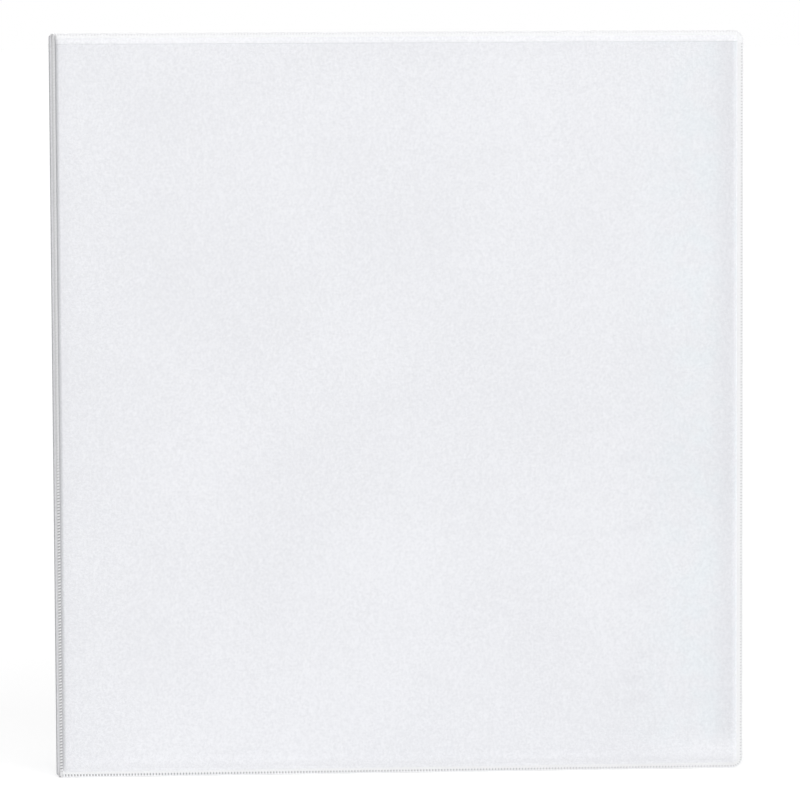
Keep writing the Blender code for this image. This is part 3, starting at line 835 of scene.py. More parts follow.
@dataclass(frozen=True)
class WeldBead:
    """The flat welded edge that joins the sheets, with a row of teeth and a fainter zigzag inside it.

    Each knot has its distance from the last one, the weld's width there, how dark the painted shadow between
    its teeth is, and how grey the painted shade on the weld inside them is.
    """

    start: Pair
    path: list[Pair]
    knots: tuple[tuple[float, float, float, float], ...]
    turned_round: bool = False

    ZIGZAG_DEPTH: ClassVar[float] = 0.25
    ZIGZAG_SHADE: ClassVar[float] = 0.1
    GREY_FROM: ClassVar[float] = 0.3
    # Round the bead's section: share of the weld's width, share of its half thickness, tooth, zigzag
    SECTION: ClassVar[Array] = np.array(
        [
            (0.00, 0.00, 0.0, 0.0),
            (0.02, 0.70, 0.0, 0.0),
            (0.06, 0.98, 0.0, 0.0),
            (0.17, 1.00, 0.0, 0.0),
            (0.20, 1.00, 1.0, 0.0),
            (0.42, 1.00, 1.0, 0.0),
            (0.46, 1.02, 0.0, 0.0),
            (0.76, 1.00, 0.0, 0.5),
            (0.88, 1.00, 0.0, 1.0),
            (1.15, 0.80, 0.0, 0.0),
            (1.15, -0.80, 0.0, 0.0),
            (0.88, -1.00, 0.0, 0.5),
            (0.46, -1.02, 0.0, 0.0),
            (0.42, -1.00, 1.0, 0.0),
            (0.20, -1.00, 1.0, 0.0),
            (0.06, -0.98, 0.0, 0.0),
            (0.02, -0.70, 0.0, 0.0),
        ]
    )

    def shape(self, panel: PanelFrame) -> Shape:
        """The section carried along the panel's edge, its teeth a power of a cosine of the distance."""
        points, heading, along = heading_path(self.start, self.path, CASE.tick_pitch / CASE.tick_samples)
        if self.turned_round:
            points = np.asarray(self.start) - (points - np.asarray(self.start))
            heading = heading + np.pi
        inward = np.stack([-np.sin(heading), np.cos(heading)], axis=-1)
        steps, *values = np.array(self.knots).T
        width, strength, grey = (np.interp(along, np.cumsum(steps), value)[:, None] for value in values)
        share, level, tooth, zigzag = self.SECTION.T
        phase = 2.0 * np.pi * np.arange(len(along))[:, None] / CASE.tick_samples
        pressed_and_shaded = teeth(phase) * tooth
        sway = np.sin(phase)
        faint = self.ZIGZAG_DEPTH * CASE.tick_depth * sway * zigzag
        w = CASE.half_bead * level - CASE.tick_depth * pressed_and_shaded * np.sign(level) - faint
        uv = points[:, None, :] + inward[:, None, :] * (share * width)[..., None]
        # Painted shade: the teeth and the zigzag are darkened as if shadowed, and the weld's inner flat is
        # greyed; both follow the knots along the path.
        weld_shade = strength * (pressed_and_shaded + self.ZIGZAG_SHADE * (0.5 - 0.5 * sway) * zigzag)
        weld_shade = np.maximum(weld_shade, grey * (share > self.GREY_FROM))
        return carried(panel.place(uv[..., 0], uv[..., 1], w), {Mark.PAINTED_GREY: weld_shade})


@dataclass(frozen=True)
class CoverPanel:
    """One panel of the case: its weld beads, outer sheet, lining and, where it has one, its film."""

    label: str
    body: Body
    place: PanelFrame
    hinge_slope: float = 0.0016
    far_is_hinge: bool = False
    end_inset: float = CASE.end_weld
    low_slope: float = CASE.low_slope
    high_slope: float = CASE.slope
    # Painted shade along a hinge: a dark outline on the slope's shoulder, a dark line at its foot that
    # darkens upwards, and a soft shade reaching into the face.
    outline: float = 0.0
    outline_spread: float = 0.5
    groove_shade: float = 0.0
    groove_width: float = 0.0009
    groove_low: float = 0.4
    shade_haze: float = 0.17
    haze_reach: float = 0.0025
    film: bool = True
    film_inset: float = 0.0
    relief: FilmRelief | None = None
    coarse: float = 0.004
    film_coarse: float = 0.004

    def edges(self) -> Edges:
        """Where the vinyl sheets end: at the inner side of each weld, and at the hinges."""
        far = self.place.far if self.far_is_hinge else self.place.far - CASE.fore_weld
        far_slope = self.hinge_slope if self.far_is_hinge else CASE.slope
        high = CASE.height - self.end_inset
        slopes = (self.hinge_slope, far_slope, self.low_slope, self.high_slope)
        return Edges(self.place.near, far, self.end_inset, high, *slopes)

    def sheet(self, side: Side) -> Shape:
        """A vinyl sheet that rises from the weld's level to the face, on one side of the panel."""
        edges = self.edges()
        u, v = edges.grid(self.coarse)
        foot = CASE.half_bead - CASE.tuck
        w = foot + (CASE.half_panel - foot) * edges.rise(u, v)
        top = self.place.place(u, v, side.value * w)
        marks = {Mark.PAINTED_GREY: self.hinge_shade(u, v, edges)} if side is Side.OUTER else {}
        return closed_sheet(top, self.place.place(u, v, side.value * (w - CASE.vinyl)), marks)

    def hinge_shade(self, u: Array, v: Array, edges: Edges) -> Array:
        """Painted shade along the hinge: a bell on the slope's shoulder, a line at its foot that darkens
        upwards, and a soft shade into the face.
        """
        nearest = u - edges.near
        if self.far_is_hinge:
            nearest = np.minimum(nearest, edges.far - u)
        off = (nearest / self.hinge_slope - 1.0) / self.outline_spread
        darker_upward = self.groove_low + (1.0 - self.groove_low) * v / CASE.height
        line = smooth(1.0 - nearest / self.groove_width) * darker_upward
        shade_haze = self.shade_haze * np.exp(-nearest / self.haze_reach)
        return self.outline * np.exp(-(off**2)) + self.groove_shade * (line + shade_haze)

    def film_shape(self) -> Shape:
        """The clear film, just off the outer sheet, cut straight across under the top edge."""
        base = self.edges()
        high = CASE.height - CASE.film_drop
        near, far = base.near + self.film_inset, base.far - self.film_inset
        slopes = (0.0, 0.0) if self.film_inset else (base.near_slope, base.far_slope)
        edges = Edges(near, far, base.low, high, *slopes, base.low_slope, 0.0)
        u, v = edges.grid(self.film_coarse)
        risen = edges.rise(u, v)
        foot = CASE.half_bead - CASE.tuck - CASE.film_lift
        w = foot + (CASE.half_panel + CASE.film_lift - foot) * risen
        marks = {Mark.RIM: smooth(1.0 - (edges.high - v) / CASE.film_rim)}
        if self.relief:
            w = w + self.relief.height(u, v) * risen
            marks.update(self.relief.marks(u, v))
        top = self.place.place(u, v, w + CASE.film)
        return closed_sheet(top, self.place.place(u, v, w), marks)

    def beads(self) -> dict[str, WeldBead]:
        """The welds: one round three sides of a cover, or one across each end of the spine."""
        near, far = self.place.near, self.place.far
        run = far - near
        if self.far_is_hinge:
            low = tuple((step, CASE.end_bead, CASE.low_tooth_shade, CASE.low_grey) for step in (0.0, run))
            high = tuple((step, CASE.end_bead, CASE.top_tooth_shade, 0.0) for step in (0.0, run))
            return {
                "bottom_weld": WeldBead((near, 0.0), [(run, 0.0)], low),
                "top_weld": WeldBead((far, CASE.height), [(run, 0.0)], high, turned_round=True),
            }
        turn = 0.5 * math.pi
        arc = CASE.corner * turn
        side = run - CASE.corner
        rise = CASE.height - 2.0 * CASE.corner
        path = [(side, 0.0), (arc, turn), (rise, 0.0), (arc, turn), (side, 0.0)]
        # Painted shade on each stretch: strong from the hinge along the bottom, less round the lower corner
        # and up the fore edge, none round the upper fore corner, faint along the top and grey by the hinge.
        knots = (
            (0.0, CASE.hinge_bead, CASE.hinge_tooth_shade, CASE.low_grey),
            (side, CASE.end_bead, CASE.turn_tooth_shade, CASE.turn_grey),
            (arc, CASE.fore_weld, CASE.fore_tooth_shade, CASE.fore_grey),
            (rise - CASE.fade, CASE.fore_weld, CASE.fore_tooth_shade, CASE.fore_grey),
            (CASE.fade, CASE.fore_weld, 0.0, 0.0),
            (arc, CASE.end_bead, 0.0, 0.0),
            (side - CASE.hinge_end, CASE.end_bead, CASE.top_tooth_shade, 0.0),
            (CASE.hinge_end, CASE.end_bead, CASE.top_tooth_shade, CASE.hinge_grey),
        )
        return {"edge_weld": WeldBead((near, 0.0), path, knots)}

    def build(self) -> None:
        """Makes the panel's pieces and lets them ride."""
        pieces = [
            (name, bead.shape(self.place), Finishes.WELD_VINYL, "outer_skin")
            for name, bead in self.beads().items()
        ]
        pieces.append(("vinyl_sheet", self.sheet(Side.OUTER), Finishes.COVER_VINYL, "outer_skin"))
        pieces.append(("lining", self.sheet(Side.INNER), Finishes.LINING_VINYL, "inner_liner"))
        if self.film:
            pieces.append(("clear_film", self.film_shape(), Finishes.CLEAR_FILM, "overlay"))
        for name, shape, finish, node in pieces:
            ride(make_piece(f"{self.label}_{name}", shape, finish, f"{self.label}_{node}"), self.body)


@dataclass(frozen=True)
class HingeFold:
    """The ticked, flexible weld between two panels, bent round a crease."""

    label: str
    crease: Triple
    cover_way: Triple
    spine_way: Triple
    spine_body: Body
    cover_body: Body
    arm: float = 0.0012
    tuck: float = 0.0011
    half: float = 0.00030
    low: float = 0.0006
    bare: float = 0.0022
    ramp: float = 0.0008
    # The teeth are full up to strong_up_to of the height and faint from faint_from; grey is the painted shade
    # laid over the fold's upper part.
    faint: float = 0.28
    grey: float = 0.12
    strong_up_to: float = 0.34
    faint_from: float = 0.46
    tooth_share: float = 0.7
    tooth_turn: float = 0.45
    tooth_fade: float = 0.75
    spine_tooth: float = 0.05
    arc_steps: int = 8

    def section(self) -> tuple[Array, Array, Array]:
        """The fold's middle line: an arm along the cover, a quarter circle and an arm along the spine.

        Returns:
            Places on the line, outward directions, and how deep the teeth press there.
        """
        angle = np.linspace(0.0, 0.5 * np.pi, self.arc_steps + 1)
        bend = self.arm * np.stack([1.0 - np.sin(angle), 1.0 - np.cos(angle)], axis=-1)
        reach = self.arm + self.tuck
        line = np.concatenate([[(reach, 0.0)], bend, [(0.0, reach)]])
        turned = np.concatenate([[0.0], angle, [0.5 * np.pi]])
        out = -np.stack([np.sin(turned), np.cos(turned)], axis=-1)
        loss = (1.0 - self.spine_tooth) * smooth((angle - self.tooth_turn) / self.tooth_fade)
        return line, out, np.concatenate([[0.0], 1.0 - loss, [0.0]])

    def shape(self) -> Shape:
        """The section carried up the crease, with slanting teeth as a power of a cosine of the height."""
        line, out, tooth = self.section()
        z = np.arange(self.low, CASE.height - self.low, CASE.tick_pitch / CASE.tick_samples)[:, None]
        slant = np.linspace(-0.5, 0.5, len(line)) * np.pi
        share = z / CASE.height
        deep = smooth((self.faint_from - share) / (self.faint_from - self.strong_up_to))
        inside = smooth((z - self.bare) / self.ramp) * (self.faint + (1.0 - self.faint) * deep)
        pressed_and_shaded = teeth(2.0 * np.pi * z / CASE.tick_pitch + slant) * tooth * inside
        outer = line + out * (self.half - self.tooth_share * CASE.tick_depth * pressed_and_shaded)[..., None]
        inner = np.broadcast_to(line - out * self.half, outer.shape)
        profile = np.concatenate([outer, inner[:, ::-1]], axis=1)
        ways = np.array([self.cover_way, self.spine_way])
        points = np.asarray(self.crease) + profile @ ways + z[..., None] * np.asarray(UP)
        # Painted shade: the teeth are darkened as if shadowed between them, and the upper part, where they
        # are faint, is greyed.
        shown = np.maximum(pressed_and_shaded, self.grey * (1.0 - deep))
        return carried(points, {Mark.PAINTED_GREY: np.concatenate([shown, np.zeros_like(pressed_and_shaded)], axis=1)})

    def build(self) -> None:
        """Makes the fold, with its placement baked into its mesh."""
        name, node = self.label + "_hinge_fold", self.label + "_hinge_web"
        piece = make_piece(name, self.shape(), Finishes.WELD_VINYL, node)
        crease = np.asarray(self.crease)
        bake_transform(piece)


@dataclass(frozen=True)
class DocumentPocket:
    """A vinyl pocket on a cover's lining, with a slanting, slightly slack mouth."""

    label: str
    body: Body
    place: PanelFrame
    near: float
    far: float
    low: float = 0.0076
    near_height: float = 0.190
    far_height: float = 0.130
    lift: float = 0.00012
    bow: float = 0.00035
    lip: float = 0.0009
    lip_thickness: float = 0.35
    lip_grey: float = 0.16
    columns: int = 81
    # Shares of the height: the fine band at the foot and the mouth, the spacing in it and between
    row_spacing: Triple = (0.02, 0.002, 0.02)

    def shape(self) -> Shape:
        """A sheet whose mouth stands off by a half sine across it, rising with the square of the height."""
        rows = graded(0.0, 1.0, *self.row_spacing)
        across, up = np.meshgrid(np.linspace(0.0, 1.0, self.columns), rows)
        u = self.near + across * (self.far - self.near)
        mouth = self.near_height + across * (self.far_height - self.near_height)
        v = self.low + up * (mouth - self.low)
        w = CASE.half_panel + self.lift + self.bow * np.sin(np.pi * across) * up**2
        edge = np.minimum(np.minimum(u - self.near, self.far - u), np.minimum(v - self.low, mouth - v))
        full = ease(edge / self.lip)
        thickness = CASE.vinyl * (self.lip_thickness + (1.0 - self.lip_thickness) * full)
        top = self.place.place(u, v, -(w + thickness))
        return closed_sheet(top, self.place.place(u, v, -w), {Mark.PAINTED_GREY: self.lip_grey * (1.0 - full)})

    def build(self) -> None:
        """Makes the pocket and lets it ride."""
        name, node = self.label + "_document_pocket", self.label + "_inner_pocket"
        ride(make_piece(name, self.shape(), Finishes.LINING_VINYL, node), self.body)


@dataclass(frozen=True)
class RivetSizes:
    """A mounting rivet: heights off the lining, radii, and the rise of its two domes."""

    skin: float = -0.0027
    collar_foot: float = 0.0001
    under_crown: float = 0.0080
    over_crown: float = 0.0094
    head: float = 0.0050
    head_seat: float = 0.0049
    head_dome: float = 0.0012
    shank: float = 0.0020
    collar: float = 0.0035
    cap: float = 0.0034
    cap_seat: float = 0.0033
    cap_dome: float = 0.0008
    dome_turn: float = 0.48 * math.pi
    dome_samples: int = 10
    sides: int = 40

    def profile(self) -> Array:
        """Heights and radii: a domed head outside the cover, a shank, a collar, a neck and a domed cap."""
        turn = np.linspace(0.0, self.dome_turn, self.dome_samples)
        head = np.stack([self.skin - self.head_dome * np.sin(turn), self.head * np.cos(turn)], axis=-1)
        stem = (
            (self.skin, self.head_seat),
            (self.skin, self.shank),
            (self.collar_foot, self.shank),
            (self.collar_foot, self.collar),
            (self.under_crown, self.collar),
            (self.under_crown, self.shank),
            (self.over_crown, self.shank),
            (self.over_crown, self.cap_seat),
        )
        cap = np.stack([self.over_crown + self.cap_dome * np.sin(turn), self.cap * np.cos(turn)], axis=-1)
        return np.concatenate([head[::-1], stem, cap])


@dataclass(frozen=True)
class PinSizes:
    """A lever's pin, with rounded ends."""

    half: float = 0.0125
    radius: float = 0.0010
    rounding: float = 0.0003
    end_loss: float = 0.35
    first_turn: float = 0.1
    samples: int = 5
    sides: int = 24

    def profile(self) -> tuple[Array, Array]:
        """Places along the pin and its radii there, rounded at each end by a quarter turn."""
        turn = np.linspace(self.first_turn, 0.5 * math.pi, self.samples)
        near = self.rounding * (1.0 - np.sin(turn[::-1])) - self.half
        size = self.radius * (1.0 - self.end_loss * np.cos(turn))
        return np.concatenate([near, -near[::-1]]), np.concatenate([size, size[::-1]])


@dataclass(frozen=True)
class LeverSizes:
    """An opening lever: a hub on its pin, a tab to press and a fork that holds the blades."""

    hub: float = 0.0020
    half_width: float = 0.0080
    length: float = 0.0160
    tilt: float = math.radians(12.0)
    lean: float = math.radians(28.0)
    plate: float = 0.0006
    curl: float = 0.0011
    root_share: float = 0.18
    rounding: float = 0.0040
    fork_half: float = 0.0025
    fork_wall: float = 0.0002
    jaw: float = math.pi - math.acos(0.4)
    finger: float = math.pi + math.asin(0.45)
    fork: tuple[Pair, ...] = (
        (-0.0008, 0.0034),
        (-0.0055, 0.0034),
        (-0.0055, 0.0025),
        (-0.0030, 0.0025),
        (-0.0030, 0.0000),
        (-0.0064, 0.0000),
        (-0.0064, -0.0009),
    )
    corner_samples: int = 9
    tab_samples: int = 7
    hub_samples: tuple[int, int] = (6, 12)

    def sides(self) -> Array:
        """Places across the lever: close together at its round corners, and at both sides of a fork wall."""
        turn = np.linspace(0.0, 0.5 * math.pi, self.corner_samples)[::-1]
        corner = self.half_width - self.rounding * (1.0 - np.sin(turn))
        half = np.concatenate([corner, [self.fork_half + self.fork_wall, self.fork_half]])
        return np.concatenate([half, -half[::-1]])

    def tab(self, s: Array) -> Array:
        """The tab's outline at each place across: its length falls off as a quarter circle at its sides."""
        past = np.clip(np.abs(s) - self.half_width + self.rounding, 0.0, self.rounding)
        reach = self.length - self.rounding + np.sqrt(np.maximum(self.rounding**2 - past**2, 0.0))
        share = np.linspace(1.0, self.root_share, self.tab_samples)
        share = np.concatenate([share[::-1], share])
        across = np.repeat([-self.plate, self.plate], self.tab_samples) + self.curl * share**3
        return rotated(np.stack(np.broadcast_arrays(share * reach[:, None], across), axis=-1), self.lean)

    def outline(self, s: Array) -> Array:
        """The side outline about the pin at each place; beside the fork it draws back into the hub."""
        root = math.asin(self.plate / self.hub)
        first = np.linspace(self.lean + root, self.jaw, self.hub_samples[0])
        drawn = np.linspace(self.jaw, self.finger, len(self.fork) + 2)[1:-1]
        last = np.linspace(self.finger, 2.0 * math.pi + self.lean - root, self.hub_samples[1])
        arcs = (self.hub * np.stack([np.cos(turn), np.sin(turn)], axis=-1) for turn in (first, drawn, last))
        before, beside, after = (np.broadcast_to(arc, (len(s), *arc.shape)) for arc in arcs)
        forked = (np.abs(s) < self.fork_half + 0.5 * self.fork_wall)[:, None, None]
        fork = np.where(forked, np.asarray(self.fork), beside)
        return rotated(np.concatenate([self.tab(s), before, fork, after], axis=1), self.tilt)


@dataclass(frozen=True)
class RingMetal:
    """The D-ring metal on the back cover: s runs to the fore edge, h off the lining, z from mid height."""

    middle: Triple = (-0.1074774, 0.0183549, 0.14765)
    ring_spacing: float = 0.10795
    wire: float = 0.0015
    wire_sides: int = 20
    foot: float = 0.0065
    seat: float = 0.0042
    bow_start: float = 0.0095
    ring_top: float = 0.0327
    bend: float = 0.0040
    fillet: float = 0.0030
    flare: float = math.radians(80.0)
    tip: float = 0.0020
    tip_gap: float = 0.00015
    tip_share: float = 0.86
    tip_rounding: float = 0.0004
    ring_step: float = 0.00035
    half_width: float = 0.0120
    crown_height: float = 0.0092
    sheet: float = 0.0009
    lip: float = 0.0024
    lip_bend: float = 0.0003
    lift: float = 0.0022
    ear_foot: float = 0.0003
    shoulder: float = 0.0035
    shoulder_samples: int = 13
    crown: float = math.radians(12.0)
    crown_mid: float = 0.0022
    half_length: float = 0.13295
    stations: int = 90
    lip_end: float = 0.12615
    slot_near: float = 0.0047
    slot_far: float = 0.00975
    slot_half: float = 0.0018
    rivet_z: float = 0.11645
    trigger_z: float = 0.12945
    trigger_h: float = 0.0029734
    rivet: RivetSizes = RivetSizes()
    pin: PinSizes = PinSizes()
    lever: LeverSizes = LeverSizes()

    def place(self, s: Array, h: Array, z: Array) -> Array:
        """Points of the row frame."""
        x, y, level = self.middle
        return np.stack(np.broadcast_arrays(x + s, y - h, level + z), axis=-1)

    def wire_shape(self, points: Array, heading: Array, radius: Array, z: float) -> Shape:
        """A round wire along a path in the ring's plane: a circle square to the heading at each point."""
        angle = around(self.wire_sides)
        square = np.stack([np.sin(heading), -np.cos(heading)], axis=-1)
        flat = points[:, None, :] + square[:, None, :] * (radius[:, None] * np.cos(angle))[..., None]
        return carried(self.place(flat[..., 0], flat[..., 1], z + radius[:, None] * np.sin(angle)))

    def half_ring(self, side: int, z: float) -> Shape:
        """Half a ring from its foot to its tip, from runs and arcs in the ring's plane.

        Args:
            side: 1 for the straight half, -1 for the curved one.
            z: The ring's height.

        Returns:
            The wire, a little rounded at its tip.
        """
        rise = self.bow_start - self.seat
        quarter = 0.5 * math.pi
        if side > 0:
            over = self.foot - self.bend - self.tip - self.tip_gap
            up = rise + self.ring_top - self.bend - self.bow_start
            moves = [(up, 0.0), (self.bend * quarter, quarter), (over, 0.0)]
        else:
            bow = self.ring_top - self.bow_start - self.fillet * math.sin(self.flare)
            bow /= 1.0 + math.sin(self.flare)
            out = self.foot + self.fillet * (1.0 - math.cos(self.flare)) - bow * math.cos(self.flare)
            over = out + self.tip - self.tip_gap
            arc = self.flare + quarter
            moves = [(rise, 0.0), (self.fillet * self.flare, self.flare), (bow * arc, -arc), (over, 0.0)]
        path, heading, along = heading_path((0.0, 0.0), moves, self.ring_step)
        points = np.stack([side * self.foot - path[:, 1], self.seat + path[:, 0]], axis=-1)
        full = ease((along[-1] - along) / self.tip_rounding)
        radius = self.wire * (self.tip_share + (1.0 - self.tip_share) * full)
        return self.wire_shape(points, heading + quarter, radius, z)

    def half_arch(self) -> Array:
        """Half of the housing's section: the wall's foot, the shoulder's arc and the crown's wide arc."""
        shoulder_s = self.half_width - self.shoulder
        crown_radius = (shoulder_s + self.shoulder * math.sin(self.crown)) / math.sin(self.crown)
        centre_h = self.crown_height - crown_radius
        shoulder_h = centre_h + (crown_radius - self.shoulder) * math.cos(self.crown)
        turn = np.linspace(0.0, 0.5 * math.pi - self.crown, self.shoulder_samples)
        round_s, round_h = self.shoulder * np.cos(turn), self.shoulder * np.sin(turn)
        arc = np.stack([shoulder_s + round_s, shoulder_h + round_h], axis=-1)
        slot_mid = 0.5 * (self.slot_near + self.slot_far)
        level = np.array([self.slot_far, slot_mid, self.slot_near, self.crown_mid, 0.0])
        level = level[level < arc[-1, 0]]
        crown = np.stack([level, centre_h + np.sqrt(crown_radius**2 - level**2)], axis=-1)
        return np.concatenate([[(self.half_width, self.lift)], arc, crown])

    def channel(self) -> Shape:
        """The housing's arch: lips, walls, shoulders and crown carried along it, open at the rings' slots.

        Returns:
            The outer face only; a modifier gives it its thickness.
        """
        mirror = np.array([-1.0, 1.0])
        half = self.half_arch()
        arch = np.concatenate([half, half[-2::-1] * mirror])
        rings = self.ring_spacing * np.array([-1.0, 0.0, 1.0])
        slots = np.add.outer(rings, [-self.slot_half, self.slot_half]).ravel()
        bend_end = self.lip_end + self.lip_bend
        ends = np.array([self.half_length, bend_end, self.lip_end])
        even = np.linspace(-self.half_length, self.half_length, self.stations)
        z = np.unique(np.concatenate([even, slots, ends, -ends]).round(6))
        bent = np.interp(np.abs(z), [self.lip_end, bend_end], [0.0, 1.0])[:, None]
        reach = self.lip + bent * (self.lift - self.ear_foot - self.lip)
        turn = bent * 0.5 * np.pi
        tip = np.stack([self.half_width - reach * np.cos(turn), self.lift - reach * np.sin(turn)], axis=-1)
        rows = np.broadcast_to(arch, (len(z), *arch.shape))
        rows = np.concatenate([tip, rows, tip * mirror], axis=1)
        points = self.place(rows[..., 0], rows[..., 1], z[:, None])
        quads = cells(*rows.shape[:2])
        flat = rows.reshape(-1, 2)
        middle_s = np.abs(flat[quads, 0].mean(axis=1))
        middle_h = flat[quads, 1].mean(axis=1)
        middle_z = np.repeat(z, rows.shape[1])[quads].mean(axis=1)
        from_ring = np.abs(middle_z - self.ring_spacing * np.round(middle_z / self.ring_spacing))
        on_crown = middle_h > self.lift + self.sheet + self.shoulder
        in_slot = (middle_s > self.slot_near) & (middle_s < self.slot_far) & on_crown
        hole = in_slot & (from_ring < self.slot_half)
        return Shape(points.reshape(-1, 3), quads[~hole].tolist())

    def rivet_shape(self, end: int) -> Shape:
        """A rivet: each height and radius of its profile swept in a circle about a line along h."""
        angle = around(self.rivet.sides)
        height, radius = self.rivet.profile().T[:, :, None]
        level = end * self.rivet_z + radius * np.sin(angle)
        return carried(self.place(radius * np.cos(angle), height, level))

    def pin_shape(self, end: int) -> Shape:
        """A lever's pin across the housing: a circle of its profile's radius at each place along it."""
        angle = around(self.pin.sides)
        s, radius = (value[:, None] for value in self.pin.profile())
        level = end * self.trigger_z + radius * np.sin(angle)
        return carried(self.place(s, self.trigger_h + radius * np.cos(angle), level))

    def lever_shape(self, end: int) -> Shape:
        """An opening lever in its closed place: its side outline carried across its width."""
        s = self.lever.sides()
        along, up = np.moveaxis(self.lever.outline(s), -1, 0)
        return carried(self.place(s[:, None], self.trigger_h + up, end * (self.trigger_z + along)))

    def build(self) -> None:
        """Makes the metal's pieces and lets them ride; the blades inside the housing keep their solids."""
        steel = Finishes.NICKEL
        housing = make_piece("ring_channel", self.channel(), steel, "ring_housing", smooth_angle=50.0)
        wall = housing.modifiers.new("wall", "SOLIDIFY")
        wall.thickness = self.sheet
        wall.offset = -1.0
        ride(housing, Body.BACK)
        halves = ((1, "straight", Body.STRAIGHT), (-1, "curved", Body.CURVED))
        for level, z in (("bottom", -self.ring_spacing), ("middle", 0.0), ("top", self.ring_spacing)):
            for side, label, body in halves:
                name, node = f"{label}_ring_{level}", f"{label}_half_ring_{level}"
                ride(make_piece(name, self.half_ring(side, z), steel, node, smooth_angle=60.0), body)
        for end, label, body in ((-1, "bottom", Body.BOTTOM_LEVER), (1, "top", Body.TOP_LEVER)):
            lever, pin, rivet = self.lever_shape(end), self.pin_shape(end), self.rivet_shape(end)
            ride(make_piece(label + "_lever", lever, steel, label + "_trigger", smooth_angle=35.0), body)
            ride(make_piece(label + "_lever_pin", pin, steel, label + "_trigger_pin"), Body.BACK)
            ride(make_piece(label + "_cover_rivet", rivet, steel, label + "_rivet"), Body.BACK)


@dataclass(frozen=True)
class Lamp:
    """One far, wide soft light: the way to it, how wide it looks in degrees and its strength."""

    name: str
    towards: Triple
    spread: float
    strength: float

    def build(self) -> None:
        """Makes the lamp, shining back along its way."""
        data = bpy.data.lights.new(self.name, "SUN")
        data.angle = math.radians(self.spread)
        data.energy = self.strength
        lamp = bpy.data.objects.new(self.name, data)
        back = np.asarray(self.towards) / np.linalg.norm(self.towards)
        right = np.cross(UP, back)
        right = right / np.linalg.norm(right)
        lamp.matrix_world = facing(right, np.cross(back, right), back)
        bpy.context.scene.collection.objects.link(lamp)


@dataclass(frozen=True)
class Studio:
    """A pale floor, soft light from the upper right and the photograph's camera."""

    camera_place: Triple = (-0.11094, -1.80046, 0.29451)
    yaw: float = math.radians(3.5789)
    pitch: float = math.radians(-4.6489)
    roll: float = math.radians(-0.2735)
    focal_pixels: float = 4505.82
    image_pixels: float = 800.0
    sensor: float = 36.0
    clip_start: float = 0.01
    ambient: float = 0.45
    floor_glow: float = 0.69
    floor_colour: Colour = (0.755, 0.755, 0.755)
    floor_shown: Colour = (0.48, 0.48, 0.48)
    floor_half: float = 80.0
    lamps: tuple[Lamp, ...] = (
        Lamp("key_light", (0.60, -0.62, 0.50), 40.0, 0.82),
        Lamp("front_light", (0.25, -0.93, 0.27), 60.0, 1.26),
        Lamp("back_light", (-0.35, 0.92, 0.14), 60.0, 1.05),
    )

    def camera(self) -> None:
        """Sets the camera at the photograph's place, turned by its yaw, pitch and roll."""
        data = bpy.data.cameras.new("photo_camera")
        data.sensor_width = self.sensor
        data.lens = self.focal_pixels * self.sensor / self.image_pixels
        data.clip_start = self.clip_start
        camera = bpy.data.objects.new("photo_camera", data)
        level = math.cos(self.pitch)
        ahead = np.array([math.sin(self.yaw) * level, math.cos(self.yaw) * level, math.sin(self.pitch)])
        right = np.array([math.cos(self.yaw), -math.sin(self.yaw), 0.0])
        above = np.cross(right, ahead)
        rolled_right = math.cos(self.roll) * right + math.sin(self.roll) * above
        rolled_up = math.cos(self.roll) * above - math.sin(self.roll) * right
        camera.matrix_world = facing(rolled_right, rolled_up, -ahead, self.camera_place)
        bpy.context.scene.collection.objects.link(camera)
        bpy.context.scene.camera = camera

    @staticmethod
    def shown(wire: Wiring, lit: Node, seen: Node) -> Socket:
        """One shader to light with, and another for the camera and for what metal and film show."""
        path = wire.node("ShaderNodeLightPath").outputs
        direct = wire.math("MAXIMUM", path["Is Camera Ray"], path["Is Glossy Ray"])
        direct = wire.math("MAXIMUM", direct, path["Is Transmission Ray"])
        inputs = {0: direct, 1: lit.outputs[0], 2: seen.outputs[0]}
        return wire.node("ShaderNodeMixShader", inputs).outputs[0]

    def world(self) -> None:
        """Even light from all round, white where it is seen."""
        world = bpy.data.worlds.new("soft_room")
        world.use_nodes = True
        bpy.context.scene.world = world
        wire = Wiring(world.node_tree)
        world.node_tree.nodes.clear()
        lit = wire.node("ShaderNodeBackground", {"Color": rgba(WHITE), "Strength": self.ambient})
        seen = wire.node("ShaderNodeBackground", {"Color": rgba(WHITE), "Strength": 1.0})
        wire.node("ShaderNodeOutputWorld", {"Surface": self.shown(wire, lit, seen)})

    def floor(self) -> None:
        """A wide pale floor: plain to other rays, and to the camera white with the binder's shadow."""
        material = bpy.data.materials.new("pale_floor")
        material.use_nodes = True
        wire = Wiring(material.node_tree)
        material.node_tree.nodes.clear()
        plain = wire.node("ShaderNodeBsdfDiffuse", {"Color": rgba(self.floor_colour)})
        shaded = wire.node("ShaderNodeBsdfDiffuse", {"Color": rgba(self.floor_shown)})
        glow = wire.node("ShaderNodeEmission", {"Color": rgba(WHITE), "Strength": self.floor_glow})
        seen = wire.node("ShaderNodeAddShader", {0: shaded.outputs[0], 1: glow.outputs[0]})
        wire.node("ShaderNodeOutputMaterial", {"Surface": self.shown(wire, plain, seen)})
        corners = np.array([(-1.0, -1.0, 0.0), (1.0, -1.0, 0.0), (1.0, 1.0, 0.0), (-1.0, 1.0, 0.0)])
        mesh = bpy.data.meshes.new("pale_floor")
        mesh.from_pydata(self.floor_half * corners, [], [[0, 1, 2, 3]])
        mesh.materials.append(material)
        floor = bpy.data.objects.new("pale_floor", mesh)
        bpy.context.scene.collection.objects.link(floor)

    def build(self) -> None:
        """Sets up the camera, floor and light."""
        self.camera()
        self.world()
        self.floor()
        for lamp in self.lamps:
            lamp.build()
        bpy.context.scene.view_settings.view_transform = "Standard"


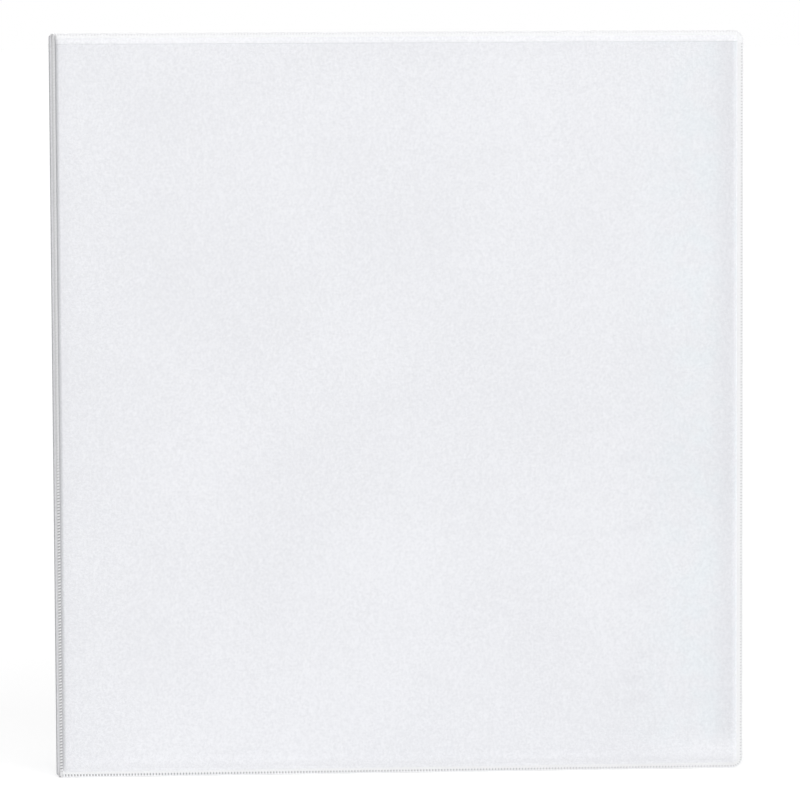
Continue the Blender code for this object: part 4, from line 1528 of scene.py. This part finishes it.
FRONT_CREASE: Triple = (-0.1359, -0.0206549, 0.0)
BACK_CREASE: Triple = (-0.1359, 0.0196549, 0.0)
RIGHT: Triple = (1.0, 0.0, 0.0)
LEFT: Triple = (-1.0, 0.0, 0.0)
TO_FRONT: Triple = (0.0, -1.0, 0.0)
TO_BACK: Triple = (0.0, 1.0, 0.0)
COVER_NEAR: float = 0.0011
COVER_FAR: float = 0.2734
SPINE_NEAR: float = 0.0010
SPINE_FAR: float = BACK_CREASE[1] - FRONT_CREASE[1] - SPINE_NEAR
FRONT_FRAME = PanelFrame(FRONT_CREASE, RIGHT, TO_FRONT, COVER_NEAR, COVER_FAR)
BACK_FRAME = PanelFrame(BACK_CREASE, RIGHT, TO_BACK, COVER_NEAR, COVER_FAR)
SPINE_FRAME = PanelFrame(BACK_CREASE, TO_FRONT, LEFT, SPINE_NEAR, SPINE_FAR)
POCKET_FAR: float = 0.2652


def dress_hidden_solids() -> None:
    """Gives the boards inside the covers and the blades inside the housing their finishes."""
    inside = {
        Finishes.PULP_BOARD: ("front_board", "spine_board", "back_board"),
        Finishes.NICKEL: ("straight_side_blade", "curved_side_blade"),
    }
    for finish, nodes in inside.items():
        for node in nodes:
            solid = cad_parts[node]
            solid.data.materials.clear()
            solid.data.materials.append(Finishes.of(finish))


def main() -> None:
    """Builds the binder's pieces in order, then the studio."""
    logging.basicConfig(level=logging.INFO, format="%(message)s")
    # The front panel and the spine carry painted shade along their hinges.
    CoverPanel(
        "front", Body.FRONT, FRONT_FRAME, groove_shade=0.42, relief=FilmRelief(), film_coarse=0.0019
    ).build()
    CoverPanel(
        "spine", Body.SPINE, SPINE_FRAME, hinge_slope=0.0006, far_is_hinge=True, end_inset=0.0005,
        low_slope=0.0010, high_slope=0.0010, outline=0.85, film_inset=0.0012,
        coarse=0.003, film_coarse=0.003,
    ).build()
    CoverPanel("back", Body.BACK, BACK_FRAME, film=False).build()
    HingeFold("front", FRONT_CREASE, RIGHT, TO_BACK, Body.SPINE, Body.FRONT).build()
    HingeFold("back", BACK_CREASE, RIGHT, TO_FRONT, Body.SPINE, Body.BACK).build()
    DocumentPocket("front", Body.FRONT, FRONT_FRAME, near=0.0054, far=POCKET_FAR).build()
    DocumentPocket("back", Body.BACK, BACK_FRAME, near=0.0464227, far=POCKET_FAR).build()
    RingMetal().build()
    dress_hidden_solids()
    Studio().build()


if __name__ == "__main__":
    main()
